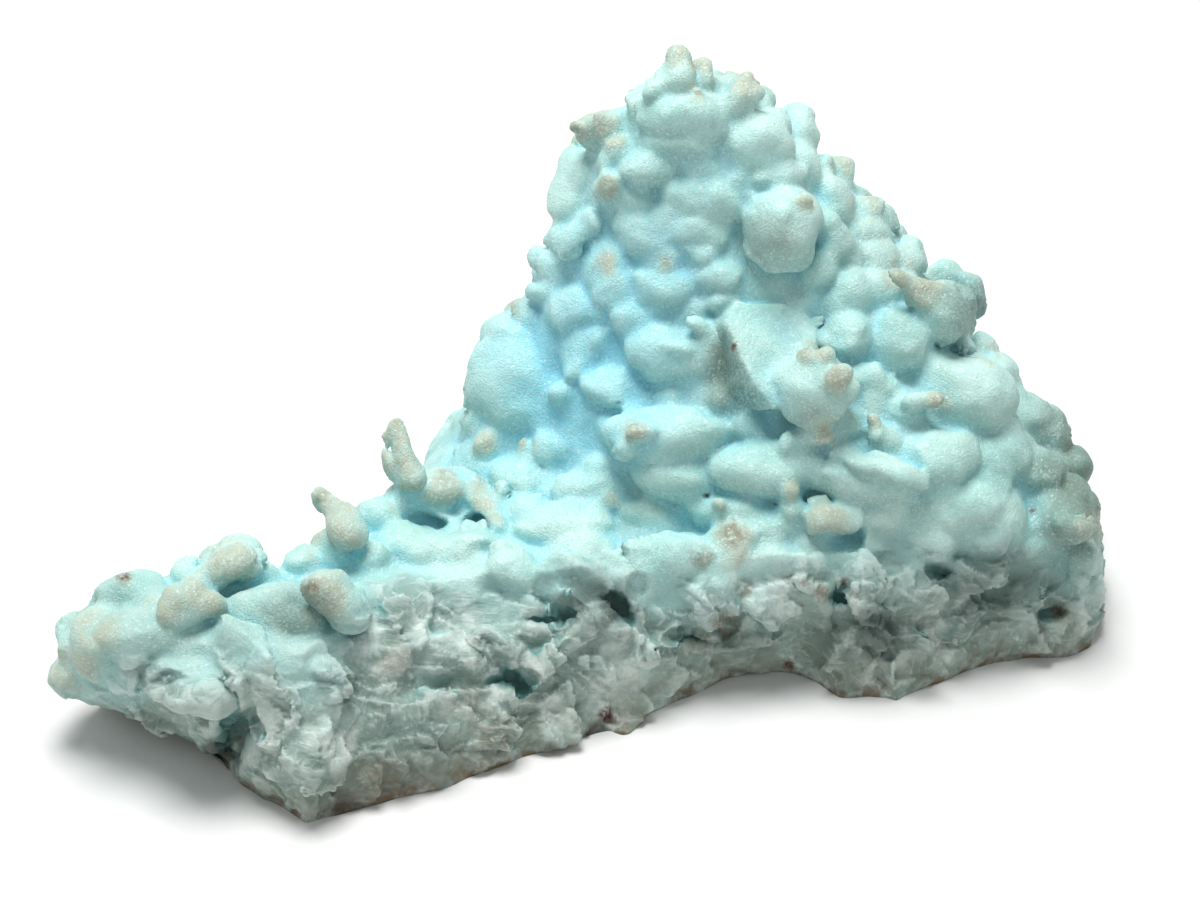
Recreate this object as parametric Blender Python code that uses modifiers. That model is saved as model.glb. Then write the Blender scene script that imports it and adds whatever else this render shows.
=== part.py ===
"""Blue aragonite: one grown cluster of rounded lobes, knobs and stubby stalactites on a broken base.

The specimen is a plate about 28 mm thick, broken off all round, with a steep hill of lobes on its right
and a long low tail to its left. It stands on a flat cut at z = 0. +X runs along its length and the
rough broken section faces -Y.
"""

import math

import bmesh
import bpy
import numpy as np
from mathutils import Euler, Matrix, Vector, noise
from mathutils.bvhtree import BVHTree

MM = 0.001
NAME = "aragonite_cluster"

# Fineness of the solid: the skin's grid in mm, and the triangles wanted before the flat cut.
SKIN_GRID = 1.1
TRIANGLES = 10800
BALL_SUBDIVISIONS = 3
CHIP_SUBDIVISIONS = 1

# The middle of the specimen's outline from above, which becomes the origin.
MIDDLE = Vector((1.1, -0.6, 0.0))

# The plate and the hill as level sections: height in mm, then points counterclockwise from above.
# Every section starts at its front left corner.
SECTION_POINTS = 96
CUT_ALLOWANCE = 5.0
PLATE_SECTIONS = (
    (0.0, (
        (-46, -58.5), (-25, -51), (-12, -43), (1, -37.5), (10, -32.5), (17, -27), (24, -21), (33, -19.5),
        (38, -22.5), (42, -27.5), (53, -27.5), (60, -24), (64, -20), (72, -17), (87, -14.5), (91, 4),
        (87, 18), (80, 33), (69, 38), (63, 50), (52, 56), (41, 55), (34, 47), (24, 48), (15, 56), (3, 55), (-6, 45),
        (-17, 40), (-27, 26), (-32, 11), (-40, -6), (-54, -16), (-68, -19), (-81, -24), (-81, -30),
        (-67, -36), (-57, -48),
    )),
    (10.0, (
        (-46, -57), (-27, -48.5), (-12, -39.5), (1, -34.5), (11, -30.5), (20, -26), (28, -23), (36, -23),
        (45, -26), (54, -25), (64, -19), (74, -16), (88, -13.5), (90.5, 3), (86, 20),
        (79, 34), (68, 41), (63, 51), (52, 58), (40, 57), (32, 50), (24, 51), (14, 58), (2, 55), (-7, 46),
        (-19, 39), (-29, 25), (-34, 11), (-42, -8), (-56, -19), (-72, -23), (-85, -29), (-88, -37),
        (-72, -42), (-58, -51),
    )),
    (20.0, (
        (-47, -53), (-34, -44), (-22, -35), (-8, -30), (2, -29), (13, -25), (24, -24), (36, -23),
        (46, -23), (56, -21), (66, -17), (76, -15), (87, -11), (89, 3), (83, 20),
        (75, 32), (67, 38), (61, 50), (48, 58), (38, 54), (29, 50), (20, 53), (10, 56), (-1, 52), (-9, 43),
        (-20, 38), (-25, 26), (-29, 12), (-35, 2), (-42, -12), (-56, -22), (-74, -25), (-86, -32),
        (-87, -38.5), (-73, -46), (-59, -51),
    )),
    (26.0, (
        (-46, -47), (-38, -38), (-30, -29), (-16, -27), (-6, -27), (4, -26), (14, -24), (26, -23),
        (38, -21), (48, -20), (58, -17), (66, -15), (75, -13), (84, -7), (84, 5), (79, 19),
        (71, 31), (61, 39), (54, 49), (42, 53), (33, 48), (22, 47), (12, 53), (0, 49), (-8, 40), (-17, 34),
        (-23, 19), (-25, 10), (-28, 1), (-34, -9), (-38, -15), (-52, -26), (-68, -28), (-78, -30), (-79, -36),
        (-70, -41), (-58, -46),
    )),
)
HILL_SECTIONS = (
    (18.0, (
        (-26, 12), (-17, -1), (-8, -6), (5, -13), (22, -18), (42, -19), (62, -17), (80, -10), (83, 3),
        (81, 18), (72, 31), (57, 43), (45, 52), (33, 48), (22, 47), (10, 50), (-10, 40), (-22, 28),
    )),
    (38.0, (
        (-19, 16), (-13, 8), (-5, 3), (5, -3), (20, -8), (40, -12), (60, -12), (72, -5), (75, 8),
        (71, 20), (63, 31), (53, 43), (40, 49), (29, 43), (19, 43), (8, 47), (-6, 37), (-16, 27),
    )),
    (52.0, (
        (-10, 22), (-6, 14), (1, 9), (12, 5), (27, 3), (42, 3), (54, 7), (60, 15), (59, 25),
        (54, 34), (45, 43), (35, 46), (25, 39), (16, 41), (7, 43), (-3, 35),
    )),
    (66.0, (
        (-5, 26), (-1, 18), (7, 13), (17, 10), (31, 10), (41, 15), (47, 23), (46, 31), (41, 38),
        (31, 41), (22, 36), (12, 40), (0, 34),
    )),
    (80.0, (
        (1, 26), (4, 20), (12, 17), (21, 16), (31, 18), (34, 24), (32, 30), (26, 34), (13, 33), (5, 31),
    )),
    (88.0, ((9.5, 26), (12, 22), (18, 20), (24, 22), (25, 26), (22, 29), (16, 30), (11, 28))),
)

# Lobes are set out on a drawing plane that leans back, square to a line of sight from the front.
SIGHT_TILT = math.radians(35.0)
SIGHT_AIM = Vector((2.0, -12.0, 41.0))
SIGHT_DISTANCE = 500.0
# Rounds of the search for the place that a sight line passes nearest to.
SEARCH_ROUNDS = 20

# Rounded lobes on the drawing plane, in mm: across, up, half width, half height, and for those that stand
# proud how much nearer the viewer they are.
LOBE_THICKNESS = 6.2
LOBE_GROWTH = 1.12
LOBE_SUNK = 0.22
# Smaller swellings on every lobe: how many, their size and how deep they sink as shares of the lobe's,
# and the thickness in mm that a lobe needs to bear them.
BUDS = 5
BUD_SHARE = (0.34, 0.6)
BUD_SUNK = 0.72
BUD_BEARER = 2.8
PEAK_LOBES = (
    (14.5, 55.4, 7.2, 4.6, 2.0), (7.5, 58, 2.6, 2.6), (22.8, 59, 2.8, 3.2), (13.5, 50.8, 6.5, 3.8, 0.8),
    (25.5, 51, 6, 4.5), (32.5, 51.5, 3.8, 4.4), (0.8, 53.0, 4.2, 3, 1.0), (8.7, 60, 1.6, 2.2),
    (2.6, 55.0, 3.0, 1.6), (18.5, 58.5, 3.4, 3.6), (28.5, 53.6, 3, 2.6), (4, 50, 3, 2.5),
)
UPPER_LOBES = (
    (-4, 43, 3.8, 6.6), (2, 47.7, 2.6, 2.4), (2.4, 44.1, 3, 2.4, 2.0), (8.9, 47.2, 3.6, 3.6, 1.5),
    (16.5, 47.5, 3.8, 2.6), (13.3, 42, 2.8, 2.6), (19.5, 42, 4.7, 4.6), (22.5, 45.5, 2.7, 2.7),
    (28.5, 46, 5, 3.2), (30.5, 37.5, 5.7, 5.7, 4.5), (36, 37, 3.4, 3.4), (38, 43, 3.4, 3.4),
    (38.2, 46.8, 1.9, 1.9), (38.5, 33.5, 3.7, 3.7), (44, 39.5, 3.0, 3.0), (46.6, 38, 2.1, 2.4),
    (45.2, 31.8, 3.4, 3.2), (36, 29.5, 3.4, 3.4), (40.5, 46, 2.2, 2.2), (11, 38, 3.4, 3.4),
)
MIDDLE_LOBES = (
    (8, 36, 5, 4), (16, 37, 5, 3.2), (16.5, 33.6, 3.0, 2.6), (-7.2, 30, 3.2, 3.4), (1.5, 30.6, 4.2, 3.0),
    (3, 26.5, 4.6, 4.2), (11, 27.5, 5, 4), (19.5, 29.5, 3.8, 2.7), (6.5, 22, 5, 4.2), (-4, 23.5, 3.8, 3.8),
    (-8, 26.0, 3.4, 2.2), (-11.5, 22.8, 2.4, 2.6), (0, 18, 3.0, 2.8), (10.5, 16.4, 5.4, 4.6, 1.4),
    (-3.5, 14.5, 3.1, 3.0), (2.5, 10.5, 5.5, 3.2), (-6, 10.5, 2.4, 2.4), (11, 9, 2.6, 2.4),
    (-13.5, 11, 8.6, 9, -2.0), (-15, 18, 5, 5, -1.0), (-18, 4, 4.6, 6, -1.0), (-5, 35, 3, 3),
)
RIGHT_LOBES = (
    (36, 10, 5.8, 5.8, 7.0), (41, 18.8, 4.4, 4.2, 1.0), (50, 18.4, 5.4, 5.0, 1.5), (46.6, 26.4, 3.6, 3.4),
    (61.5, 9, 7.6, 6.4, 1.5), (71, 6, 3.6, 3.6), (74.6, 2.6, 3.2, 4.6), (78, -3.5, 3.2, 4),
    (58, 21.5, 4.4, 4.2, 4.0), (56, 14, 4.2, 3.8), (44, 11, 3.7, 3.5), (47.5, 10, 3, 2.9), (51, 7, 3.3, 3.1),
    (46.5, 1, 3.3, 3.4), (29, -3, 10, 4.6), (57.5, -1.5, 5.6, 4.4), (66, -4, 3.0, 2.8), (59.5, -9, 8, 5),
    (57, 28.6, 3.4, 3, -1.0), (60.8, 26, 3.0, 3.4, -1.0), (72, -4, 5, 4.5), (76, -11.5, 4.8, 4.8),
    (41.5, 26, 4.2, 3.8), (79.5, -10, 3, 4.4), (50.4, 31, 3, 2.8), (66.2, 12, 3.6, 3.6), (40, 4, 4.4, 3.4),
    (80, -18, 3, 4),
)
TERRACE_LOBES = (
    (11, 2.8, 10, 4.8, 2.5), (13, -4, 7, 3.8, 1.0), (0, -7, 7, 3.4), (-6, -13.5, 7.5, 4.6), (-3, -17, 6, 2.8),
    (46.5, -11, 4.6, 3.2), (38, -12.3, 4.4, 2.6), (22, -16, 4.6, 4.6), (13, -17.5, 5.6, 3.8),
    (-14.5, -20.5, 3.6, 3.0), (22, -10, 7, 3.4), (31, -12, 6, 3.4), (8, -11, 6, 3.6), (54, -12, 4.6, 3.2),
    (45, -5, 8.5, 4.4, 1.0),
)
TAIL_LOBES = (
    (-61.5, -19.6, 4.4, 3.8), (-71, -26.6, 6, 2.9), (-65, -26, 2.6, 2.5), (-69.5, -20.8, 2.4, 2.4),
    (-78, -24.6, 5, 3.4), (-83.5, -32.5, 4.4, 5), (-76, -31, 7, 4), (-88.6, -38, 3.4, 2.6),
    (-54, -29, 8, 5, -2.0), (-56, -21, 3, 2.5), (-43.6, -16.6, 4.6, 4.2, 1.5), (-38, -18.6, 3.4, 3.0, 1.0),
    (-46.2, -24.6, 3.6, 3.6, 3.5), (-42, -27, 3.4, 3.4), (-37, -12.5, 4, 3.8), (-31, -16.5, 6, 3.6, -1.0),
    (-22, -17, 6, 3.4, -1.0), (-49, -19.2, 3.2, 3.0), (-12, -10.5, 4.4, 2.6),
)
FRONT_LOBES = PEAK_LOBES + UPPER_LOBES + MIDDLE_LOBES + RIGHT_LOBES + TERRACE_LOBES + TAIL_LOBES
# Small knobs on the lobes, nearly whole balls: across, up, radius. They stand out rather than sink in.
KNOB_SUNK = -0.3
KNOB_GROWTH = 1.0
KNOBS = (
    (24.3, 61.0, 1.5), (16, 59.6, 1.2), (-0.4, 55.2, 1.1), (-4, 53.4, 1.2), (10.8, 31, 1.3), (-19, 1.2, 2.8),
    (34.2, 15.6, 1.7), (36.9, 15.8, 1.8), (38.9, 11.8, 2.7), (6, 3, 2.4), (4, 0.5, 1.9),
    (1.5, -9, 1.8), (20, -9, 1.3), (61.8, 18, 1.6), (64.5, 15.8, 1.3), (-57.5, -19.2, 1.1),
    (83.6, -23.3, 1.5), (34.2, 41.4, 1.4), (-17.3, -7.6, 1.1), (-19.8, -6.2, 1.1), (45.8, 5, 1.3), (77.2, -12.5, 2.6),
    (-14.2, 24.0, 1.2),
)
# Fingers, then ridges: foot across and up, tip across and up, foot radius, tip radius, and how far the
# tip stands nearer the viewer than the foot, in mm.
FINGERS = (
    (12.8, 61, 13.2, 66.0, 2.7, 1.5, 0.5), (9, 60, 11.4, 63.6, 2.0, 1.5, 0.0),
    (17, 61.5, 17.4, 64.2, 2.2, 1.6, 0.8), (23, 58, 24.6, 61.6, 2.6, 0.9, 0.5),
    (24.5, 58, 26.2, 58.8, 2.4, 1.4, 1.0), (18.8, 18.2, 15.2, 21.4, 1.4, 0.9, 3.0),
    (57.6, 22.4, 49.8, 29.6, 3.9, 1.3, 6.0), (53, 8, 56, 8.2, 2.0, 1.6, 2.0),
    (45.8, 3, 45.8, 5.6, 1.5, 1.1, 1.5), (32, 1, 38, 2.8, 1.9, 1.6, 2.0),
    (32.3, -9.5, 32.3, -6.8, 2.1, 1.7, 1.5), (-12.5, -2, -12.9, 1.9, 2.0, 0.8, 2.0),
    (-31, -5, -33.8, 3.6, 2.8, 1.4, 0.0), (-33.2, 2.0, -35.9, 2.0, 1.4, 0.8, 0.0),
    (-32.8, -5.6, -36.1, -0.4, 2.0, 0.8, 0.0), (-42.3, -14, -43.4, -10.4, 3.2, 2.1, 0.0),
    (-43.4, -10.4, -46.3, -7.5, 2.1, 0.9, 0.5), (79, -13.2, 81.6, -12.8, 2.4, 0.8, 0.0),
)
RIDGES = (
    (-33, -8.6, -26, -6.2, 3.3, 3.0, 2.0), (-26, -6.2, -20.6, -7.6, 3.0, 2.5, 1.5),
    (-20.6, -7.6, -16.8, -12.5, 2.4, 1.8, 0.5), (-20.6, -8, -20, -5.8, 1.6, 1.0, 0.5),
    (-17.6, -10, -17.2, -7.0, 1.5, 0.9, 0.5), (-61.3, -18.8, -69.5, -25, 2.9, 3.0, 0.5),
    (-58.5, -20, -57.6, -18.6, 2.0, 1.2, 0.5), (-5.6, 34.4, -1.2, 37, 1.9, 2.0, 0.0),
    (40, -0.5, 53, -5, 1.8, 1.8, 0.5), (-46, -23.5, -41, -27.5, 3.6, 2.2, 0.0),
    (-71, -27, -65.2, -26, 2.8, 2.3, 0.0), (36.5, -11.6, 42, -11.6, 2.2, 2.4, 0.5),
    (-20, -31, -11, -38, 2.0, 2.0, 0.0), (-11, -38, 0, -27, 2.0, 1.8, 0.0),
)
# How far the middle of a finger or ridge lies above the surface, and the most between its balls, as
# shares of its radius.
STRAND_LIFT = 0.75
STRAND_STEP = 0.45
# Ledges of the broken front: across, up, half width, half height, and the turn on the drawing plane.
LEDGES = (
    (-4, -18.6, 10, 2.2, 6), (-46, -37, 6, 3, -20), (-48, -50, 4, 8, 8), (-33, -29, 7, 4, -50),
    (-31, -46, 9, 5, 15), (-18, -46, 6, 5, -30), (-56, -38, 6.5, 4.6, -12), (-70, -37, 7, 3, 5),
    (9, -33, 6, 3.4, 20), (16, -26, 6, 3, -40), (24, -31, 8, 3, 12), (36, -20, 3.8, 3.4, 30),
    (42.5, -22, 3.6, 3.4, -20), (49, -31, 9, 3, -12), (52, -24, 6, 3, 10), (62, -19, 7, 4, -8),
    (61, -29, 3, 6.5, -28), (70, -24, 6, 5, 15), (75, -30, 7, 3, 5), (-8, -47, 6, 3.6, 18),
    (-40, -56, 5, 3, 10),
)
LEDGE_THICKNESS = 2.6
# The angular block: its corners, and how far each stands nearer the viewer than the hill behind it.
BLOCK_CORNERS = (
    (17.2, 20.0, -2.0), (18.0, 11.5, -3.0), (19.0, 6.8, -3.0), (20.6, 20.6, 5.0), (24.7, 13.6, 8.0),
    (29.2, 6.6, 6.5), (23.0, 24.6, 2.0), (30.0, 24.8, 2.0), (36.2, 21.8, 1.5), (36.0, 18.0, 4.5),
    (37.0, 11.0, 3.0), (30.0, 8.0, -3.0), (30.0, 20.0, -4.0),
)

# Hollows in the broken front: across, up, half width, half height, depth.
HOLLOWS = (
    (-28.2, -12.2, 3.4, 1.6, 5.0), (-21.2, -11.8, 1.7, 1.7, 6.0), (2.5, -26.5, 3.2, 2.8, 3.4),
    (-8.5, -28.5, 4.2, 1.6, 3.4), (-60.8, -47.6, 3.4, 5.8, 9.0), (40, -24, 2.4, 2.0, 3.4),
    (-14, -38.6, 4.6, 1.8, 3.4), (76.5, -27, 2.2, 1.7, 3.0), (6.5, -22, 2.0, 2.2, 1.6),
    (56.5, -19.6, 2.4, 1.4, 3.0), (-72, -38, 3.0, 1.8, 2.4), (14, -31, 3.6, 1.6, 2.6),
)

# Smooth patches with no growth of their own: across, up, half width, half height.
SMOOTH_PATCHES = ((-13, 11, 10, 11), (-4, 5, 5, 7), (-52, -29, 8, 6), (27.5, 28, 5, 4.5), (-25, -9, 12, 7))

# Height of the crust's lower edge: in front, and how it rises and droops out of sight, in mm.
RIM_HEIGHT = 25.0
RIM_DROOP = 4.0
RIM_SWING = 7.0
# The long and the short wave of that droop: share of the swing, length in mm and start.
LONG_DROOP = (0.6, 8.0, 0.9)
SHORT_DROOP = (0.4, 4.6, 0.0)
# How far growth keeps above the crust's lower edge, in mm.
RIM_CLEAR = 1.0

# Growth between the named lobes and on the parts out of sight, and the chips of the broken sides.
# Gaps and radii are in mm, and how deep a thing sinks is a share of its radius.
SEED = 11
SAMPLES = 9000
FILLER_GAP = 6.0
FILLER_RADIUS = (3.2, 5.0)
FILLER_STRETCH = (0.8, 1.3)
FILLER_SUNK = 0.55
HIDDEN_GAP = 6.2
HIDDEN_RADIUS = (3.8, 7.0)
HIDDEN_STRETCH = (0.85, 1.2)
HIDDEN_SUNK = 0.15
LEAST_RADIUS = 1.4
RADIUS_STEP = 0.8
LOOK_ROUND = [math.radians(angle) for angle in range(0, 360, 30)]
# How far off the surface a look round starts, in mm.
LOOK_CLEAR = 0.5
CHIP_GAP = 7.5
CHIP_RADIUS = (5.0, 10.0)
CHIP_FLATNESS = 0.4
CHIP_JITTER = 0.28
CHIP_SUNK = 0.3
CHIP_CLEAR = 2.5
CHIP_TILT = 0.6
# A broken side is steeper than this: the upward share of the way it faces.
SIDE_SLOPE = 0.8

# Waviness of the skin: how far it wanders, and over what length, in mm.
WAVES = ((1.3, 13.0), (0.75, 5.0))
SMOOTHING_ROUNDS = 1
# The creases between lobes: rounds of filling, how far a round fills them, and how much of that the tops
# of the lobes lose.
CREASE_ROUNDS = 1
CREASE_FILL = 0.5
CREST_LOSS = 0.1

CRUST_COLOUR = (0.42, 0.72, 0.74, 1.0)
CRUST_ROUGHNESS = 0.5


def clear_scene():
    for thing in list(bpy.data.objects):
        bpy.data.objects.remove(thing, do_unlink=True)


def sight_axes():
    """The drawing plane's directions: to the right, up along the plane, and into the object."""
    right = Vector((1.0, 0.0, 0.0))
    lift = Vector((0.0, math.sin(SIGHT_TILT), math.cos(SIGHT_TILT)))
    inward = Vector((0.0, math.cos(SIGHT_TILT), -math.sin(SIGHT_TILT)))
    return right, lift, inward


def sight_eye():
    return SIGHT_AIM - sight_axes()[2] * SIGHT_DISTANCE


def sight_point(across, up, depth):
    """The place in mm that shows at (across, up) on the drawing plane and lies depth behind it."""
    right, lift, inward = sight_axes()
    reach = (SIGHT_DISTANCE + depth) / SIGHT_DISTANCE
    return sight_eye() + (inward * SIGHT_DISTANCE + right * across + lift * up) * reach


def on_drawing_plane(places):
    """Where a place, or each of many, shows on the drawing plane: across and up, in mm."""
    right, lift, inward = (np.array(axis) for axis in sight_axes())
    from_eye = places - np.array(sight_eye())
    reach = from_eye @ inward / SIGHT_DISTANCE
    return from_eye @ right / reach, from_eye @ lift / reach


def even_outline(points, count):
    """Count points spaced evenly along a closed outline, starting at its first point."""
    corners = np.array(points + (points[0],), float)
    lengths = np.linalg.norm(np.diff(corners, axis=0), axis=1)
    along = np.concatenate(([0.0], np.cumsum(lengths)))
    stations = np.linspace(0.0, along[-1], count, endpoint=False)
    return np.column_stack([np.interp(stations, along, corners[:, axis]) for axis in (0, 1)])


def add_loft(bm, sections):
    """A closed solid through level sections, capped at both ends."""
    rings = []
    for height, points in sections:
        outline = even_outline(points, SECTION_POINTS)
        ring = [bm.verts.new((x * MM, y * MM, height * MM)) for x, y in outline]
        rings.append([bm.edges.new((a, b)) for a, b in zip(ring, ring[1:] + ring[:1])])
    for lower, upper in zip(rings, rings[1:]):
        bmesh.ops.bridge_loops(bm, edges=lower + upper)
    for ring in (rings[0], rings[-1]):
        bmesh.ops.contextual_create(bm, geom=ring)


def add_mass(bm):
    """The plate, carried down past its cut, and the hill on it."""
    height, footprint = PLATE_SECTIONS[0]
    add_loft(bm, ((height - CUT_ALLOWANCE, footprint),) + PLATE_SECTIONS)
    add_loft(bm, HILL_SECTIONS)
    bmesh.ops.recalc_face_normals(bm, faces=bm.faces)
    bmesh.ops.triangulate(bm, faces=bm.faces)


def mesh_of(build, *details):
    """The mesh that a building function leaves in a new bmesh."""
    bm = bmesh.new()
    build(bm, *details)
    mesh = bpy.data.meshes.new(build.__name__)
    bm.to_mesh(mesh)
    bm.free()
    return mesh


def tree_of(mesh):
    corners = [v.co for v in mesh.vertices]
    return BVHTree.FromPolygons(corners, [tuple(face.vertices) for face in mesh.polygons])


def nearest_to_ray(tree, eye, direction):
    """The point on the mass nearest a sight line that misses it."""
    along = SIGHT_DISTANCE
    for _ in range(SEARCH_ROUNDS):
        near = tree.find_nearest((eye + direction * along) * MM)[0] / MM
        along = (near - eye).dot(direction)
    return near


def depth_seen(tree, across, up):
    """How far behind the drawing plane the mass lies at this place, or passes nearest to it."""
    eye = sight_eye()
    direction = (sight_point(across, up, 0.0) - eye).normalized()
    hit = tree.ray_cast(eye * MM, direction)[0]
    place = nearest_to_ray(tree, eye, direction) if hit is None else hit / MM
    return (place - eye).dot(sight_axes()[2]) - SIGHT_DISTANCE


def unit_ball(bm, subdivisions):
    bmesh.ops.create_icosphere(bm, subdivisions=subdivisions, radius=1.0)


def add_ball(bm, ball, centre, axes, half_sizes):
    """A copy of the ball as an ellipsoid at centre (mm), with half sizes (mm) along three directions."""
    turn = Matrix(axes).transposed().to_4x4()
    size = Matrix.Diagonal((*[float(half) * MM for half in half_sizes], 1.0))
    copy = ball.copy()
    copy.transform(Matrix.Translation(centre * MM) @ turn @ size)
    bm.from_mesh(copy)
    bpy.data.meshes.remove(copy)


def add_buds(bm, ball, centre, half_sizes, rng):
    """Smaller swellings on a lobe, so that it isn't a plain ball."""
    axes = sight_axes()
    for _ in range(BUDS):
        share = float(rng.uniform(*BUD_SHARE))
        outward = Vector(rng.normal(size=3)).normalized()
        reach = 1.0 - BUD_SUNK * share
        offset = sum((axis * (part * half) for axis, part, half in zip(axes, outward, half_sizes)), Vector())
        add_ball(bm, ball, centre + offset * reach, axes, [half * share for half in half_sizes])


def add_lobes(bm, ball, tree, lobes, sunk, growth):
    """Rounded lobes that grow out of the mass where they show on the drawing plane."""
    rng = np.random.default_rng(SEED)
    for lobe in lobes:
        across, up, half_width, half_height, nearer = (*lobe, 0.0)[:5]
        half_width, half_height = half_width * growth, half_height * growth
        thickness = min(math.sqrt(half_width * half_height), LOBE_THICKNESS)
        centre = sight_point(across, up, depth_seen(tree, across, up) + sunk * thickness - nearer)
        half_sizes = (half_width, half_height, thickness)
        add_ball(bm, ball, centre, sight_axes(), half_sizes)
        if thickness > BUD_BEARER:
            add_buds(bm, ball, centre, half_sizes, rng)


def add_strand(bm, ball, tree, strand):
    """A finger or a ridge: balls close together from its foot to its tip."""
    foot_across, foot_up, tip_across, tip_up, foot_radius, tip_radius, reach = strand
    depth = depth_seen(tree, foot_across, foot_up)
    length = math.hypot(tip_across - foot_across, tip_up - foot_up)
    steps = max(3, math.ceil(length / (STRAND_STEP * tip_radius)))
    for share in np.linspace(0.0, 1.0, steps + 1):
        across = foot_across + share * (tip_across - foot_across)
        up = foot_up + share * (tip_up - foot_up)
        radius = foot_radius + share * (tip_radius - foot_radius)
        here = min(depth - share * reach, depth_seen(tree, across, up) - STRAND_LIFT * radius)
        add_ball(bm, ball, sight_point(across, up, here), sight_axes(), (radius,) * 3)


def add_block(bm, tree):
    """The angular block beside the middle lobes, with flat sides that meet in a prow."""
    for across, up, nearer in BLOCK_CORNERS:
        bm.verts.new(sight_point(across, up, depth_seen(tree, across, up) - nearer) * MM)
    hull = bmesh.ops.convex_hull(bm, input=bm.verts)
    buried = [item for item in hull["geom_interior"] if isinstance(item, bmesh.types.BMVert)]
    bmesh.ops.delete(bm, geom=buried, context="VERTS")


def surface_samples(mesh, rng):
    """Places spread evenly over a mesh by area, and the way the surface faces there (mm)."""
    corners = np.array([[mesh.vertices[i].co for i in face.vertices] for face in mesh.polygons]) / MM
    facing = np.array([face.normal for face in mesh.polygons])
    areas = np.array([face.area for face in mesh.polygons])
    picks = rng.choice(len(areas), size=SAMPLES, p=areas / areas.sum())
    weights = rng.dirichlet((1.0, 1.0, 1.0), size=SAMPLES)
    places = np.einsum("nc,ncx->nx", weights, corners[picks])
    return [(Vector(place), Vector(normal)) for place, normal in zip(places, facing[picks])]


def is_outside(tree, place, normal):
    """True where the surface isn't buried in another part of the mass."""
    return tree.ray_cast((place + normal) * MM, normal)[0] is None


def is_in_sight(tree, place, normal):
    """True where nothing stands between this place and the viewer."""
    direction = (sight_eye() - place).normalized()
    start = (place + normal * LOOK_CLEAR) * MM
    return normal.dot(direction) > 0.0 and tree.ray_cast(start, direction)[0] is None


def spaced(samples, gap):
    """The samples that lie at least gap from those kept before them."""
    kept = []
    places = np.empty((0, 3))
    for place, normal in samples:
        if len(kept) == 0 or np.min(np.sum((places - np.array(place)) ** 2, axis=1)) > gap * gap:
            kept.append((place, normal))
            places = np.vstack((places, np.array(place)))
    return kept


def radius_in_outline(front, centre, radius):
    """The radius, cut down until a ball there stays behind the outline that shows from the front."""
    right, lift, _ = sight_axes()
    eye = sight_eye()
    while radius > LEAST_RADIUS:
        edge = [centre + (right * math.cos(turn) + lift * math.sin(turn)) * radius for turn in LOOK_ROUND]
        if all(front.ray_cast(eye * MM, (point - eye).normalized())[0] is not None for point in edge):
            return radius
        radius *= RADIUS_STEP
    return 0.0


def random_turn(rng, most):
    return Euler([float(angle) for angle in rng.uniform(-most, most, 3)]).to_matrix()


def hidden_rim(x, y):
    """Height of the crust's lower edge at a place out of sight: it droops here and there (mm)."""
    waves = 0.0
    for (share, length, start), along in ((LONG_DROOP, x), (SHORT_DROOP, x + y)):
        waves = waves + share * np.sin(along / length + start)
    return RIM_HEIGHT - RIM_DROOP + RIM_SWING * waves


def is_below_rim(tree, place, normal):
    """True on the broken sides, clear of the flat cut."""
    rim = RIM_HEIGHT if is_in_sight(tree, place, normal) else hidden_rim(place.x, place.y)
    return CHIP_CLEAR < place.z < rim and abs(normal.z) < SIDE_SLOPE


def is_smooth(place):
    """True where the place shows in one of the smooth patches."""
    across, up = on_drawing_plane(np.array(place))
    return any(math.hypot((across - a) / w, (up - b) / h) < 1.0 for a, b, w, h in SMOOTH_PATCHES)


def add_fillers(bm, ball, samples, tree, rng):
    """Smaller lobes between the named ones, over the crust in sight."""
    crust = [(p, n) for p, n in samples if p.z > RIM_HEIGHT + RIM_CLEAR and is_in_sight(tree, p, n)]
    for place, normal in spaced(crust, FILLER_GAP):
        radius = rng.uniform(*FILLER_RADIUS)
        stretch = rng.uniform(*FILLER_STRETCH, 3) * radius
        turn = random_turn(rng, math.pi)
        if not is_smooth(place):
            add_ball(bm, ball, place - normal * (FILLER_SUNK * radius), turn, stretch)


def add_hidden_lobes(bm, ball, samples, tree, front, rng):
    """Lobes over the crust that can't be seen from the front."""
    above = [(p, n) for p, n in samples if p.z > hidden_rim(p.x, p.y) - RIM_CLEAR]
    crust = [(p, n) for p, n in above if not is_in_sight(tree, p, n)]
    for place, normal in spaced(crust, HIDDEN_GAP):
        radius = radius_in_outline(front, place, rng.uniform(*HIDDEN_RADIUS))
        stretch = rng.uniform(*HIDDEN_STRETCH, 3) * radius
        if radius > 0.0:
            add_ball(bm, ball, place - normal * (HIDDEN_SUNK * radius), random_turn(rng, math.pi), stretch)


def chip_shape(bm, rng):
    """A flattened, uneven chip with a dozen corners."""
    unit_ball(bm, CHIP_SUBDIVISIONS)
    for corner in bm.verts:
        corner.co *= 1.0 + float(rng.uniform(-CHIP_JITTER, CHIP_JITTER))


def add_chips(bm, samples, tree, front, rng):
    """Angular chips and ledges over the broken sides, below the crust."""
    sides = [(p, n) for p, n in samples if is_below_rim(tree, p, n)]
    for place, normal in spaced(sides, CHIP_GAP):
        chip = mesh_of(chip_shape, rng)
        radius = max(radius_in_outline(front, place, rng.uniform(*CHIP_RADIUS)), LEAST_RADIUS)
        facing = normal.to_track_quat("Z", "Y").to_matrix() @ random_turn(rng, CHIP_TILT)
        half_sizes = (radius, radius, radius * CHIP_FLATNESS)
        add_ball(bm, chip, place - normal * (CHIP_SUNK * radius), facing.transposed(), half_sizes)
        bpy.data.meshes.remove(chip)


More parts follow.
